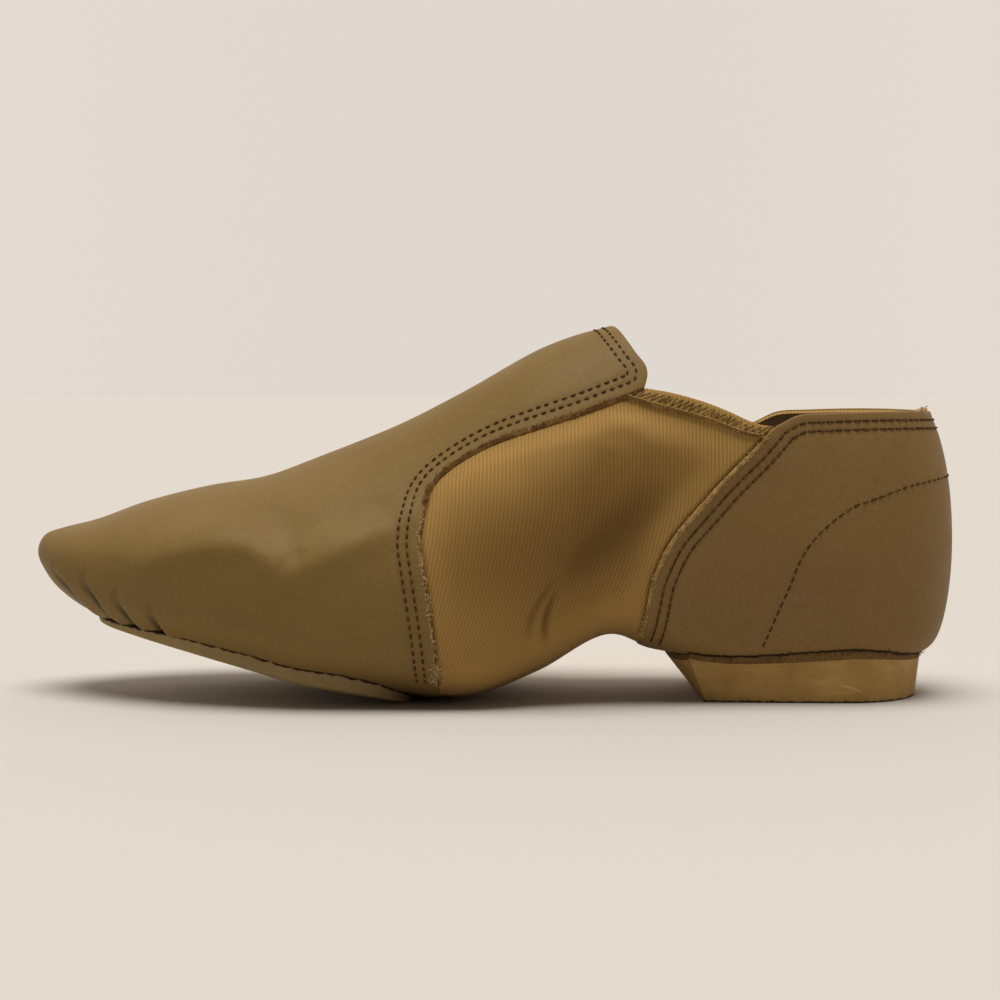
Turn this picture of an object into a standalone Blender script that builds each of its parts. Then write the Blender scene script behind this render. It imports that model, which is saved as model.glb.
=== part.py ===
"""Jazz slip-on shoe, left foot, as separate pieces: upper, vamp, counter, insole, sole patch and heel.

The frame is the shoe's own: toe towards -X, heel towards +X, inner side of the foot towards +Y,
floor at Z = 0. All pieces come from one form, a last, which is a row of sections along the foot.
A section is read by its station (the row number in SECTIONS, with fractions between rows) and by
its turn, which is 0 at the keel under the foot, 1 at the ridge above it, and minus on the -Y side.
Past the last section the form turns about an upright line, the heel pivot, to close the back.
"""

import math

import bmesh
import bpy
import numpy as np

# Driving sizes, metres
LENGTH = 0.2517
BALL_WIDTH = 0.086
HEEL_WIDTH = 0.0602
INSTEP_HEIGHT = 0.0858
TOE_SPRING = 0.0379
TOE_SWING = 0.007
ARCH_RISE = 0.0075
HEEL_HEIGHT = 0.0095
SEAT_THICKNESS = 0.0009
SOLE_THICKNESS = 0.0016
BALL_CLEARANCE = 0.0003
LEATHER = 0.0010
WALL = 0.0018
INSOLE_THICKNESS = 0.0015
HEM_WIDTH = 0.006
HEM_RISE = 0.0006
GORE_SWELL = 0.0008
LASTING_MARGIN = 0.007
GAP = 0.0003

# Length from the toe to the heel pivot, and the heights of the form's keel
SPINE = LENGTH - HEEL_WIDTH / 2
HEEL_KEEL = HEEL_HEIGHT + SEAT_THICKNESS + 2 * GAP
HEEL_RISE = HEEL_KEEL - BALL_CLEARANCE
UNDER_LEATHER = LEATHER + GAP
INSIDE = UNDER_LEATHER + WALL

# One row for each section. along is a share of SPINE, swing of TOE_SWING, ball of half BALL_WIDTH,
# seat of half HEEL_WIDTH, spring of TOE_SPRING, rise of HEEL_RISE, arch of ARCH_RISE, height of
# INSTEP_HEIGHT, and belly, the level of greatest width, of the section's own height. square is the
# power of the curve under the belly, taper narrows it downwards, and ridge lifts the instep's crest.
# The last row is the back of the heel, a quarter turn about the pivot from the row before it.
SECTIONS = [
    # along, swing, ball, seat, spring, rise, arch, height, belly, square, taper, ridge
    (0.000, 1.00, 0.000, 0.000, 1.000, 0.00, 0.00, 0.000, 0.50, 2.2, 0.00, 0.00),
    (0.009, 0.98, 0.158, 0.000, 0.873, 0.00, 0.00, 0.110, 0.49, 2.2, 0.00, 0.00),
    (0.033, 0.92, 0.340, 0.000, 0.715, 0.00, 0.00, 0.204, 0.52, 2.3, 0.00, 0.00),
    (0.077, 0.82, 0.535, 0.000, 0.560, 0.00, 0.00, 0.302, 0.50, 2.5, 0.00, 0.00),
    (0.138, 0.64, 0.721, 0.000, 0.460, 0.00, 0.00, 0.403, 0.46, 2.8, 0.00, 0.00),
    (0.215, 0.40, 0.865, 0.000, 0.346, 0.00, 0.00, 0.502, 0.42, 3.0, 0.00, 0.02),
    (0.285, 0.18, 0.945, 0.000, 0.236, 0.00, 0.00, 0.582, 0.42, 3.0, 0.00, 0.05),
    (0.345, 0.06, 0.985, 0.000, 0.138, 0.00, 0.00, 0.680, 0.40, 3.0, 0.00, 0.12),
    (0.450, 0.00, 1.000, 0.000, 0.028, 0.00, 0.00, 0.838, 0.39, 2.9, 0.00, 0.20),
    (0.535, -0.15, 0.958, 0.000, 0.000, 0.00, 0.00, 0.960, 0.41, 3.5, 0.00, 0.20),
    (0.626, -0.30, 0.628, 0.352, 0.000, 0.38, 0.32, 1.017, 0.39, 2.8, 0.00, 0.15),
    (0.707, -0.28, 0.326, 0.664, 0.000, 1.00, 0.66, 0.980, 0.37, 2.5, 0.00, 0.08),
    (0.761, -0.15, 0.163, 0.847, 0.000, 1.00, 0.25, 1.033, 0.37, 3.2, 0.04, 0.03),
    (0.833, -0.05, 0.047, 0.970, 0.000, 1.00, 0.00, 1.072, 0.37, 6.0, 0.10, 0.00),
    (0.914, 0.00, 0.012, 0.997, 0.000, 1.00, 0.00, 1.050, 0.36, 9.0, 0.14, 0.00),
    (1.000, 0.00, 0.000, 1.000, 0.000, 1.00, 0.00, 1.020, 0.37, 9.0, 0.15, 0.00),
    (1.000, 0.00, 0.000, 1.000, 0.000, 1.00, 0.00, 1.002, 0.37, 9.0, 0.14, 0.00),
]
BACK = len(SECTIONS) - 1
PIVOT = BACK - 1
DOME_POWER = 2.1
RIDGE_SPREAD = 0.5
SIDE_GIRTH_SHARE = 0.9

# Panel edges on the form, each row a station and a turn, from the foot's edge upwards
VAMP_EDGE = [
    # station, turn
    (8.64, 0.300),
    (8.57, 0.411),
    (8.43, 0.547),
    (8.38, 0.601),
    (8.42, 0.657),
    (8.52, 0.722),
    (8.78, 0.757),
    (9.27, 0.779),
    (10.00, 0.778),
    (10.70, 0.780),
    (11.30, 0.796),
    (11.80, 0.819),
]
TAB_EDGE = [
    # station, turn
    (11.12, 1.000),
    (11.46, 0.920),
    (11.87, 0.845),
    (11.80, 0.819),
]
GORE_COLLAR = [
    # station, turn
    (11.80, 0.819),
    (12.24, 0.815),
    (12.74, 0.803),
    (13.20, 0.788),
    (13.62, 0.772),
    (13.90, 0.771),
]
COUNTER_EDGE = [
    # station, turn
    (11.74, 0.200),
    (11.93, 0.354),
    (12.07, 0.412),
    (12.33, 0.487),
    (12.72, 0.564),
    (13.15, 0.646),
    (13.67, 0.732),
    (13.90, 0.771),
]
COUNTER_COLLAR = [
    # station, turn
    (13.90, 0.771),
    (14.24, 0.794),
    (14.68, 0.800),
    (15.10, 0.804),
    (15.55, 0.807),
    (16.00, 0.808),
]
# The turn at which the side of the foot begins, by station
FOOT_EDGE = [
    # station, turn
    (0.0, 0.300),
    (8.6, 0.300),
    (11.7, 0.200),
    (13.0, 0.225),
    (16.0, 0.232),
]

# The openings under the foot, from one station to another
BALL_OPENING = (3.6, 7.4)
HEEL_OPENING = (13.0, BACK)
NO_OPENING = (BACK, BACK)

# Where the sole patch and the heel lie, as shares of LENGTH from the toe. The flare widens the patch
# towards its rear, and a power of 2 gives it a half-oval end, a higher one a squarer end.
SOLE_FRONT = 0.068
SOLE_REAR = 0.416
SOLE_HALF = 0.0310
SOLE_FLARE = 0.10
SOLE_FRONT_POWER = 2.0
SOLE_REAR_POWER = 3.8
HEEL_FRONT = 0.690
HEEL_BREAST_SLANT = 0.0046
HEEL_BREAST_BULGE = 0.0048
HEEL_FLOOR_BULGE = 0.0010
HEEL_HALF_SHARE = 0.83
HEEL_BACK_SHARE = 0.715
HEEL_FRONT_NARROWING = 0.90
HEEL_FLARE = 0.0012
INSOLE_FIRST_RIB = 3
INSOLE_RIM_SHARE = 0.6

# Counts of faces along and around
VAMP_RIBS = 16
TOE_CROWDING = 1.15
TAB_RIBS = 3
GORE_RIBS = 11
COUNTER_RIBS = 11
SIDE_ROWS = 11
HEEL_RIBS = 14
EDGE_SAMPLES = 480
SPINE_SAMPLES = 60 * PIVOT
SETTLING_STEPS = 40


def hermite(rows, station):
    """Values between the rows of a table, on a smooth curve through them."""
    rows = np.asarray(rows, float)
    station = np.asarray(station, float)
    before = 2 * rows[0] - rows[1]
    after = 2 * rows[-1] - rows[-2]
    ends = np.vstack([before, rows, after])
    start = np.clip(np.floor(station).astype(int), 0, len(rows) - 2)
    part = (station - start)[..., None]
    first, second, third, fourth = (ends[start + step] for step in range(4))
    bend = 2 * first - 5 * second + 4 * third - fourth
    twist = 3 * second - first - 3 * third + fourth
    return 0.5 * (2 * second + (third - first) * part + bend * part**2 + twist * part**3)


def section_columns(station):
    """The columns of SECTIONS at a station, with the toe's first section kept blunt."""
    rows = np.array(SECTIONS)
    mirror = 2 * rows[0] - rows[1]
    mirror[0] = rows[1][0]
    body = np.vstack([mirror, rows[:-1]])
    station = np.asarray(station, float)
    along_body = hermite(body, np.minimum(station, PIVOT) + 1)
    ease = np.sin(np.maximum(station - PIVOT, 0) * math.pi / 2)[..., None] ** 2
    around_heel = rows[PIVOT] + ease * (rows[BACK] - rows[PIVOT])
    return np.where((station > PIVOT)[..., None], around_heel, along_body)


def form(station):
    """Sizes in metres of the section at a station."""
    along, swing, ball, seat, spring, rise, arch, height, belly, square, taper, ridge = np.moveaxis(
        section_columns(station), -1, 0
    )
    keel = BALL_CLEARANCE + spring * TOE_SPRING + rise * HEEL_RISE + arch * ARCH_RISE
    tall = np.maximum(height * INSTEP_HEIGHT, 1e-6)
    return {
        "x": along * SPINE - LENGTH / 2,
        "y": swing * TOE_SWING,
        "half": np.maximum((ball * BALL_WIDTH + seat * HEEL_WIDTH) / 2, 1e-6),
        "keel": keel,
        "belly": keel + belly * tall,
        "low": np.maximum(belly * tall, 1e-6),
        "high": np.maximum((1 - belly) * tall, 1e-6),
        "square": square,
        "taper": taper,
        "ridge": ridge,
    }


def skin(station, turn):
    """Points on the outside of the form."""
    station = np.asarray(station, float)
    angle = np.asarray(turn, float) * math.pi
    size = form(station)
    above = np.cos(angle) < 0
    reach = np.where(above, size["high"] / (1 + size["ridge"]), size["low"])
    power = np.where(above, DOME_POWER, size["square"])
    across = np.abs(np.sin(angle)) / size["half"]
    upright = np.abs(np.cos(angle)) / reach
    radius = (across**power + upright**power) ** (-1 / power)
    crest = np.exp(-(((math.pi - np.abs(angle)) / RIDGE_SPREAD) ** 2))
    radius = radius * (1 + size["ridge"] * crest)
    below = np.clip(radius * np.cos(angle) / size["low"], 0, 1)
    out = radius * np.sin(angle) * (1 - size["taper"] * below**2)
    heel_turn = np.maximum(station - PIVOT, 0) * math.pi / 2
    x = size["x"] + np.abs(out) * np.sin(heel_turn)
    y = size["y"] + out * np.cos(heel_turn)
    z = size["belly"] - radius * np.cos(angle)
    return np.stack([x, y, z], axis=-1)


def shell(station, turn, depth):
    """Points at a depth inside the form, square to its surface."""
    station = np.asarray(station, float)
    turn = np.asarray(turn, float)
    step = 1e-3
    point = skin(station, turn)
    along = skin(station + step, turn) - skin(station - step, turn)
    around = skin(station, turn + step) - skin(station, turn - step)
    normal = np.cross(along, around)
    size = np.linalg.norm(normal, axis=-1, keepdims=True)
    flat = size < 1e-10
    normal = normal / np.maximum(size, 1e-12)
    core = form(np.minimum(station, PIVOT))
    centre = np.stack([core["x"], core["y"], core["belly"]], axis=-1)
    facing = np.sum(normal * (point - centre), axis=-1, keepdims=True)
    normal = normal * np.where(facing < 0, -1, 1)
    normal = np.where(flat, np.array([0.0, 0.0, -1.0]), normal)
    tip = (station < 1e-6)[..., None]
    normal = np.where(tip, np.array([-1.0, 0.0, 0.0]), normal)
    return point - depth * normal


def sample(edge, shares):
    """Stations and turns at shares of the way along a panel edge."""
    fine = hermite(edge, np.linspace(0, len(edge) - 1, EDGE_SAMPLES))
    points = skin(fine[:, 0], fine[:, 1])
    steps = np.linalg.norm(np.diff(points, axis=0), axis=1)
    run = np.concatenate([[0], np.cumsum(steps)])
    wanted = np.asarray(shares) * run[-1]
    return np.stack([np.interp(wanted, run, fine[:, 0]), np.interp(wanted, run, fine[:, 1])], axis=-1)


def foot_edge(station):
    """The turn where the bottom of the foot meets its side."""
    rows = np.array(FOOT_EDGE)
    return np.interp(station, rows[:, 0], rows[:, 1])


def side_shares():
    """Shares of the way from the foot's edge to the top, the last row being the collar's hem."""
    hem = 1 - HEM_WIDTH / (SIDE_GIRTH_SHARE * INSTEP_HEIGHT)
    rows = np.linspace(0, hem, SIDE_ROWS)
    return np.concatenate([rows, [hem, 1.0]])


def coons(left, right, bottom, top):
    """Stations and turns filled in between four edges of a panel."""
    across = np.linspace(0, 1, len(bottom))[:, None, None]
    up = side_shares()[None, :, None]
    sides = (1 - across) * left[None] + across * right[None]
    ends = (1 - up) * bottom[:, None] + up * top[:, None]
    low = (1 - across) * left[0] + across * right[0]
    high = (1 - across) * left[-1] + across * right[-1]
    return sides + ends - (1 - up) * low - up * high


def with_bottom(panel):
    """A panel continued under the foot, from its lowest row to the keel."""
    station = panel[:, 0, 0]
    edge = panel[:, 0, 1]
    half = form(station)["half"]
    margin = edge * np.clip(1 - LASTING_MARGIN / half, 0.2, 1)
    keel = np.stack([station, 0 * station], axis=-1)
    lasted = np.stack([station, margin], axis=-1)
    return np.concatenate([keel[:, None], lasted[:, None], panel], axis=1)


def vamp_panel():
    """The front of the shoe, from the toe to the gore and the back of the tab."""
    up = side_shares()
    right = sample(VAMP_EDGE, up)
    left = np.stack([0 * up, FOOT_EDGE[0][1] + (1 - FOOT_EDGE[0][1]) * up], axis=-1)
    spread = np.linspace(0, 1, VAMP_RIBS + 1) ** TOE_CROWDING
    bottom_station = spread * VAMP_EDGE[0][0]
    bottom = np.stack([bottom_station, foot_edge(bottom_station)], axis=-1)
    ridge_ribs = VAMP_RIBS - TAB_RIBS
    ridge_station = np.linspace(0, 1, ridge_ribs + 1) ** TOE_CROWDING * TAB_EDGE[0][0]
    ridge = np.stack([ridge_station, 1 + 0 * ridge_station], axis=-1)
    tab = hermite(TAB_EDGE, np.linspace(0, len(TAB_EDGE) - 1, TAB_RIBS + 1))
    return with_bottom(coons(left, right, bottom, np.vstack([ridge, tab[1:]])))


def gore_panel():
    """The stretch side between vamp and counter."""
    up = side_shares()
    across = np.linspace(0, 1, GORE_RIBS + 1)
    bottom_station = VAMP_EDGE[0][0] + (COUNTER_EDGE[0][0] - VAMP_EDGE[0][0]) * across
    bottom = np.stack([bottom_station, foot_edge(bottom_station)], axis=-1)
    front = sample(VAMP_EDGE, up)
    return with_bottom(coons(front, sample(COUNTER_EDGE, up), bottom, sample(GORE_COLLAR, across)))


def counter_panel():
    """The heel's side, from the gore to the middle of the back."""
    up = side_shares()
    across = np.linspace(0, 1, COUNTER_RIBS + 1)
    bottom_station = COUNTER_EDGE[0][0] + (BACK - COUNTER_EDGE[0][0]) * across
    bottom = np.stack([bottom_station, foot_edge(bottom_station)], axis=-1)
    back_turn = foot_edge(BACK) + (COUNTER_COLLAR[-1][1] - foot_edge(BACK)) * up
    right = np.stack([0 * up + BACK, back_turn], axis=-1)
    return with_bottom(coons(sample(COUNTER_EDGE, up), right, bottom, sample(COUNTER_COLLAR, across)))


def material(name, colour, roughness):
    """A plain material of one colour."""
    finish = bpy.data.materials.new(name)
    finish.use_nodes = True
    shader = finish.node_tree.nodes["Principled BSDF"]
    shader.inputs["Base Color"].default_value = (*colour, 1)
    shader.inputs["Roughness"].default_value = roughness
    shader.inputs["Metallic"].default_value = 0
    finish.diffuse_color = (*colour, 1)
    return finish


def closed_piece(name, outer, inner, finish):
    """A solid between two matching lists of four-cornered faces, closed along their free edges."""
    mesh = bmesh.new()
    found = {}

    def corner(layer, point):
        key = (layer, *np.round(np.asarray(point) * 1e5).astype(int))
        if key not in found:
            found[key] = mesh.verts.new(point)
        return found[key]

    def face(verts, split=(0, 2)):
        low, high = split
        for cut in (verts[low : high + 1], verts[high:] + verts[: low + 1]):
            if len(set(cut)) == 3:
                mesh.faces.new(cut)

    free_edges = {}
    for outside, inside in zip(outer, inner):
        ring = [corner(0, point) for point in outside]
        lining = [corner(1, point) for point in inside]
        face(ring)
        face(lining[::-1], (1, 3))
        for place in range(len(ring) if len(set(ring)) > 2 else 0):
            start, end = ring[place - 1], ring[place]
            if start is not end and free_edges.pop((end, start), None) is None:
                free_edges[(start, end)] = (lining[place - 1], lining[place])
    for (start, end), (inner_start, inner_end) in free_edges.items():
        face([end, start, inner_start, inner_end])
    bmesh.ops.recalc_face_normals(mesh, faces=mesh.faces)
    data = bpy.data.meshes.new(name)
    mesh.to_mesh(data)
    mesh.free()
    data.shade_smooth()
    data.set_sharp_from_angle(angle=math.radians(40))
    data.materials.append(finish)
    piece = bpy.data.objects.new(name, data)
    bpy.context.scene.collection.objects.link(piece)
    return piece


def faces_of(grid, keep=None):
    """The four-cornered faces of a grid of points, with some left out."""
    faces = []
    for rib in range(grid.shape[0] - 1):
        for row in range(grid.shape[1] - 1):
            if keep is None or keep[rib, row]:
                faces.append([grid[rib, row], grid[rib + 1, row], grid[rib + 1, row + 1], grid[rib, row + 1]])
    return faces


def both_sides(panel, depth, keep=None, rim=1.0):
    """A panel's faces at a depth, on both sides of the foot, its last row drawn back to a share."""
    near = shell(panel[..., 0], -panel[..., 1], depth)
    far = shell(panel[..., 0], panel[..., 1], depth)
    for grid in (near, far):
        grid[:, -1] = grid[:, -2] + rim * (grid[:, -1] - grid[:, -2])
    return faces_of(near, keep) + [face[::-1] for face in faces_of(far, keep)]


def open_under(panel, first, last):
    """Which faces stay when the bottom is open between two stations."""
    middle = (panel[:-1, :, 0] + panel[1:, :, 0]) / 2
    keep = np.ones((panel.shape[0] - 1, panel.shape[1] - 1), bool)
    keep[:, 0] = (middle[:, 0] < first) | (middle[:, 0] > last)
    return keep


def upper_piece():
    """One hollow wall, open at the collar and under ball and heel, with a raised hem on the gore."""
    fabric = material("stretch_fabric", (0.29, 0.18, 0.07), 0.9)
    outer = []
    inner = []
    openings = {"vamp": BALL_OPENING, "gore": NO_OPENING, "counter": HEEL_OPENING}
    panels = {"vamp": vamp_panel(), "gore": gore_panel(), "counter": counter_panel()}
    for name, panel in panels.items():
        keep = open_under(panel, *openings[name])
        outside = np.full(panel.shape[:2], UNDER_LEATHER)
        if name == "gore":
            outside[1:-1] -= GORE_SWELL
            outside[1:-1, -2:] -= HEM_RISE
        outer += both_sides(panel, outside[..., None], keep)
        inner += both_sides(panel, INSIDE, keep)
    return closed_piece("upper", outer, inner, fabric)


def overlay_piece(name, panel, opening, finish):
    """A leather piece on the outside of the upper."""
    keep = open_under(panel, *opening)
    return closed_piece(name, both_sides(panel, 0.0, keep), both_sides(panel, LEATHER, keep), finish)


def underside(x, y):
    """Height of the form's bottom at a place in plan."""
    stations = np.linspace(0, PIVOT, SPINE_SAMPLES)
    station = np.interp(x, form(stations)["x"], stations)
    size = form(station)
    pivot = LENGTH / 2 - HEEL_WIDTH / 2
    behind = np.maximum(x - pivot, 0)
    aside = np.abs(y - size["y"])
    quarter = np.arctan2(behind, np.maximum(aside, 1e-9)) / (math.pi / 2)
    size = form(np.where(behind > 0, PIVOT + quarter, station))
    out = np.hypot(behind, aside)
    depth = np.full(np.shape(out), 0.8)
    for _ in range(SETTLING_STEPS):
        width = size["half"] * (1 - size["taper"] * depth**2)
        share = np.clip(out / width, 0, 0.999)
        depth = 0.5 * depth + 0.5 * (1 - share ** size["square"]) ** (1 / size["square"])
    return size["belly"] - size["low"] * depth


def slab(name, top, bottom, finish):
    """A solid between two grids of points, one over the other."""
    over = [face[::-1] for face in faces_of(top)]
    under = [face[::-1] for face in faces_of(bottom)]
    return closed_piece(name, over, under, finish)


def sole_patch():
    """The front half of the split sole, a leather patch worn flat where the ball of the foot rests."""
    leather = material("sole_leather", (0.20, 0.13, 0.06), 0.8)
    front = -LENGTH / 2 + SOLE_FRONT * LENGTH
    rear = -LENGTH / 2 + SOLE_REAR * LENGTH
    place = -np.cos(np.linspace(0, math.pi, 17))
    side = np.sin(np.linspace(-math.pi / 2, math.pi / 2, 13))
    x = (front + rear) / 2 + place * (rear - front) / 2
    power = np.where(place < 0, SOLE_FRONT_POWER, SOLE_REAR_POWER)
    half = SOLE_HALF * (1 + SOLE_FLARE * place) * (1 - np.abs(place) ** power) ** (1 / power)
    stations = np.linspace(0, PIVOT, SPINE_SAMPLES)
    middle = np.interp(x, form(stations)["x"], form(stations)["y"])
    plan_x = np.repeat(x[:, None], len(side), axis=1)
    plan_y = middle[:, None] + half[:, None] * side[None]
    under = underside(plan_x, plan_y) - GAP
    low = np.maximum(under - SOLE_THICKNESS, 0.0)
    top = np.stack([plan_x, plan_y, under], -1)
    return slab("outsole_forefoot", top, np.stack([plan_x, plan_y, low], -1), leather)


def heel_plan(front, bulge, flare):
    """A heel-shaped plan, its front bulged forward and its back a half round."""
    share = np.linspace(0, 1, HEEL_RIBS + 1)
    side = np.sin(np.linspace(-math.pi / 2, math.pi / 2, 15))
    half = HEEL_WIDTH / 2 * HEEL_HALF_SHARE + flare
    pivot = LENGTH / 2 - HEEL_WIDTH / 2
    back = pivot + (HEEL_WIDTH / 2 * HEEL_BACK_SHARE + flare) * np.sqrt(1 - side**2)
    lead = front - bulge * (1 - side**2)
    plan_x = lead[None] + share[:, None] * (back - lead)[None]
    narrow = 1 - (1 - HEEL_FRONT_NARROWING) * (1 - share) ** 2
    plan_y = narrow[:, None] * half * side[None]
    return plan_x, plan_y


def heel_pieces():
    """The thin seat under the counter, and the heel block that stands on the floor."""
    front = -LENGTH / 2 + HEEL_FRONT * LENGTH + HEEL_BREAST_BULGE
    plan_x, plan_y = heel_plan(front, HEEL_BREAST_BULGE, 0.0)
    seat_top = underside(plan_x, plan_y) - GAP
    seat_low = seat_top - SEAT_THICKNESS
    seat_finish = material("seat_leather", (0.24, 0.13, 0.07), 0.8)
    over = np.stack([plan_x, plan_y, seat_top], -1)
    slab("heel_seat", over, np.stack([plan_x, plan_y, seat_low], -1), seat_finish)
    floor_x, floor_y = heel_plan(front + HEEL_BREAST_SLANT, HEEL_FLOOR_BULGE, -HEEL_FLARE)
    block_finish = material("heel_board", (0.26, 0.16, 0.05), 0.75)
    block_top = np.stack([plan_x, plan_y, seat_low - GAP], -1)
    slab("heel_block", block_top, np.stack([floor_x, floor_y, 0 * floor_x], -1), block_finish)


def insole():
    """The insole inside the upper, cupped a little where it meets the side walls."""
    lining = material("insole_fabric", (0.35, 0.26, 0.16), 0.9)
    top = []
    bottom = []
    for panel in (vamp_panel()[INSOLE_FIRST_RIB:], gore_panel(), counter_panel()):
        sheet = panel[:, :3]
        bottom += both_sides(sheet, INSIDE + GAP, rim=INSOLE_RIM_SHARE)
        top += both_sides(sheet, INSIDE + GAP + INSOLE_THICKNESS, rim=INSOLE_RIM_SHARE)
    closed_piece("insole", bottom, top, lining)


def build():
    """All pieces of the shoe."""
    for thing in list(bpy.data.objects):
        bpy.data.objects.remove(thing)
    tan = material("tan_leather", (0.25, 0.17, 0.08), 0.5)
    upper_piece()
    overlay_piece("vamp", vamp_panel(), BALL_OPENING, tan)
    overlay_piece("counter", counter_panel(), HEEL_OPENING, tan.copy())
    sole_patch()
    heel_pieces()
    insole()


build()
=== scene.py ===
"""Look of the jazz slip-on shoe: smooth leather, stretch gore, board heel, seams, creases and fibres.

The frame is the part's own: toe towards -X, heel towards +X, inner side towards +Y, floor at Z = 0.
The pieces repeat the part's form, a row of sections along the foot, on finer grids. A place on it is
a station, the row number in SECTIONS, and a turn: 0 at the keel, 1 at the ridge, minus on the -Y side.
"""

import math

import bmesh
import bpy
import numpy as np
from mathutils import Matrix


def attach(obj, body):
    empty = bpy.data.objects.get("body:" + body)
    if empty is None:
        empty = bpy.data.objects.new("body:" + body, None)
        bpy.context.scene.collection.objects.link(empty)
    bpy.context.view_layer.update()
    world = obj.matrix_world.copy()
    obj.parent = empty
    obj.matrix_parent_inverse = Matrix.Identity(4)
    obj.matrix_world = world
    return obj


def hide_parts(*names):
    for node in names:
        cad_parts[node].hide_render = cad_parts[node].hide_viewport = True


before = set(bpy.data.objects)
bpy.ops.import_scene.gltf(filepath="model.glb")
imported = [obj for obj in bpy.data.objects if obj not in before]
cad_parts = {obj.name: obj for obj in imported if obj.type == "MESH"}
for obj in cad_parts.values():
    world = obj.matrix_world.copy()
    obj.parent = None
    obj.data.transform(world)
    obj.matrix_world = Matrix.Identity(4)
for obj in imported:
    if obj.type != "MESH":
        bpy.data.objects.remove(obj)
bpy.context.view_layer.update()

# Driving sizes, metres
LENGTH = 0.2517
BALL_WIDTH = 0.086
HEEL_WIDTH = 0.0602
INSTEP_HEIGHT = 0.0858
TOE_SPRING = 0.0379
TOE_SWING = 0.007
ARCH_RISE = 0.0075
HEEL_HEIGHT = 0.0095
SEAT_THICKNESS = 0.0009
SOLE_THICKNESS = 0.0016
BALL_CLEARANCE = 0.0003
LEATHER = 0.0010
WALL = 0.0018
INSOLE_THICKNESS = 0.0015
HEM_WIDTH = 0.0048
HEM_RISE = 0.0006
GORE_SWELL = 0.0008
LASTING_MARGIN = 0.007
GAP = 0.0003

SPINE = LENGTH - HEEL_WIDTH / 2
HEEL_KEEL = HEEL_HEIGHT + SEAT_THICKNESS + 2 * GAP
HEEL_RISE = HEEL_KEEL - BALL_CLEARANCE
HEEL_CENTRE = LENGTH / 2 - HEEL_WIDTH / 2
UNDER_LEATHER = LEATHER + GAP
INSIDE = UNDER_LEATHER + WALL
NEAR = -1
FAR = 1
SIDES = (NEAR, FAR)

# Least sizes, which keep divisions safe
SMALL = 1e-6
SHORT = 1e-9
FLAT = 1e-10
TINY = 1e-12

# One row for each section. along is a share of SPINE, swing of TOE_SWING, ball of half BALL_WIDTH,
# seat of half HEEL_WIDTH, spring of TOE_SPRING, rise of HEEL_RISE, arch of ARCH_RISE, height of
# INSTEP_HEIGHT, and belly, the level of greatest width, of the section's own height. square is the
# power of the curve under the belly, taper narrows it downwards, and ridge lifts the instep's crest.
SECTIONS = [
    # along, swing, ball, seat, spring, rise, arch, height, belly, square, taper, ridge
    (0.000, 1.00, 0.000, 0.000, 1.000, 0.00, 0.00, 0.000, 0.50, 2.2, 0.00, 0.00),
    (0.009, 0.98, 0.158, 0.000, 0.873, 0.00, 0.00, 0.110, 0.49, 2.2, 0.00, 0.00),
    (0.033, 0.92, 0.340, 0.000, 0.715, 0.00, 0.00, 0.204, 0.52, 2.3, 0.00, 0.00),
    (0.077, 0.82, 0.535, 0.000, 0.560, 0.00, 0.00, 0.302, 0.50, 2.5, 0.00, 0.00),
    (0.138, 0.64, 0.721, 0.000, 0.460, 0.00, 0.00, 0.403, 0.46, 2.8, 0.00, 0.00),
    (0.215, 0.40, 0.865, 0.000, 0.346, 0.00, 0.00, 0.502, 0.42, 3.0, 0.00, 0.02),
    (0.285, 0.18, 0.945, 0.000, 0.236, 0.00, 0.00, 0.582, 0.42, 3.0, 0.00, 0.05),
    (0.345, 0.06, 0.985, 0.000, 0.138, 0.00, 0.00, 0.680, 0.40, 3.0, 0.00, 0.12),
    (0.450, 0.00, 1.000, 0.000, 0.028, 0.00, 0.00, 0.838, 0.39, 2.9, 0.00, 0.20),
    (0.535, -0.15, 0.958, 0.000, 0.000, 0.00, 0.00, 0.960, 0.41, 3.5, 0.00, 0.20),
    (0.626, -0.30, 0.628, 0.352, 0.000, 0.38, 0.32, 1.017, 0.39, 2.8, 0.00, 0.15),
    (0.707, -0.28, 0.326, 0.664, 0.000, 1.00, 0.66, 0.980, 0.37, 2.5, 0.00, 0.08),
    (0.761, -0.15, 0.163, 0.847, 0.000, 1.00, 0.25, 1.033, 0.37, 3.2, 0.04, 0.03),
    (0.833, -0.05, 0.047, 0.970, 0.000, 1.00, 0.00, 1.072, 0.37, 6.0, 0.10, 0.00),
    (0.914, 0.00, 0.012, 0.997, 0.000, 1.00, 0.00, 1.050, 0.36, 9.0, 0.14, 0.00),
    (1.000, 0.00, 0.000, 1.000, 0.000, 1.00, 0.00, 1.020, 0.37, 9.0, 0.15, 0.00),
    (1.000, 0.00, 0.000, 1.000, 0.000, 1.00, 0.00, 1.002, 0.37, 9.0, 0.14, 0.00),
]
BACK = len(SECTIONS) - 1
PIVOT = BACK - 1
DOME_POWER = 2.1
RIDGE_SPREAD = 0.5
SIDE_GIRTH = 0.9 * INSTEP_HEIGHT
TOE_CENTRE = 1.2
NORMAL_STEP = 1e-3
MARGIN_LEAST = 0.2

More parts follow.
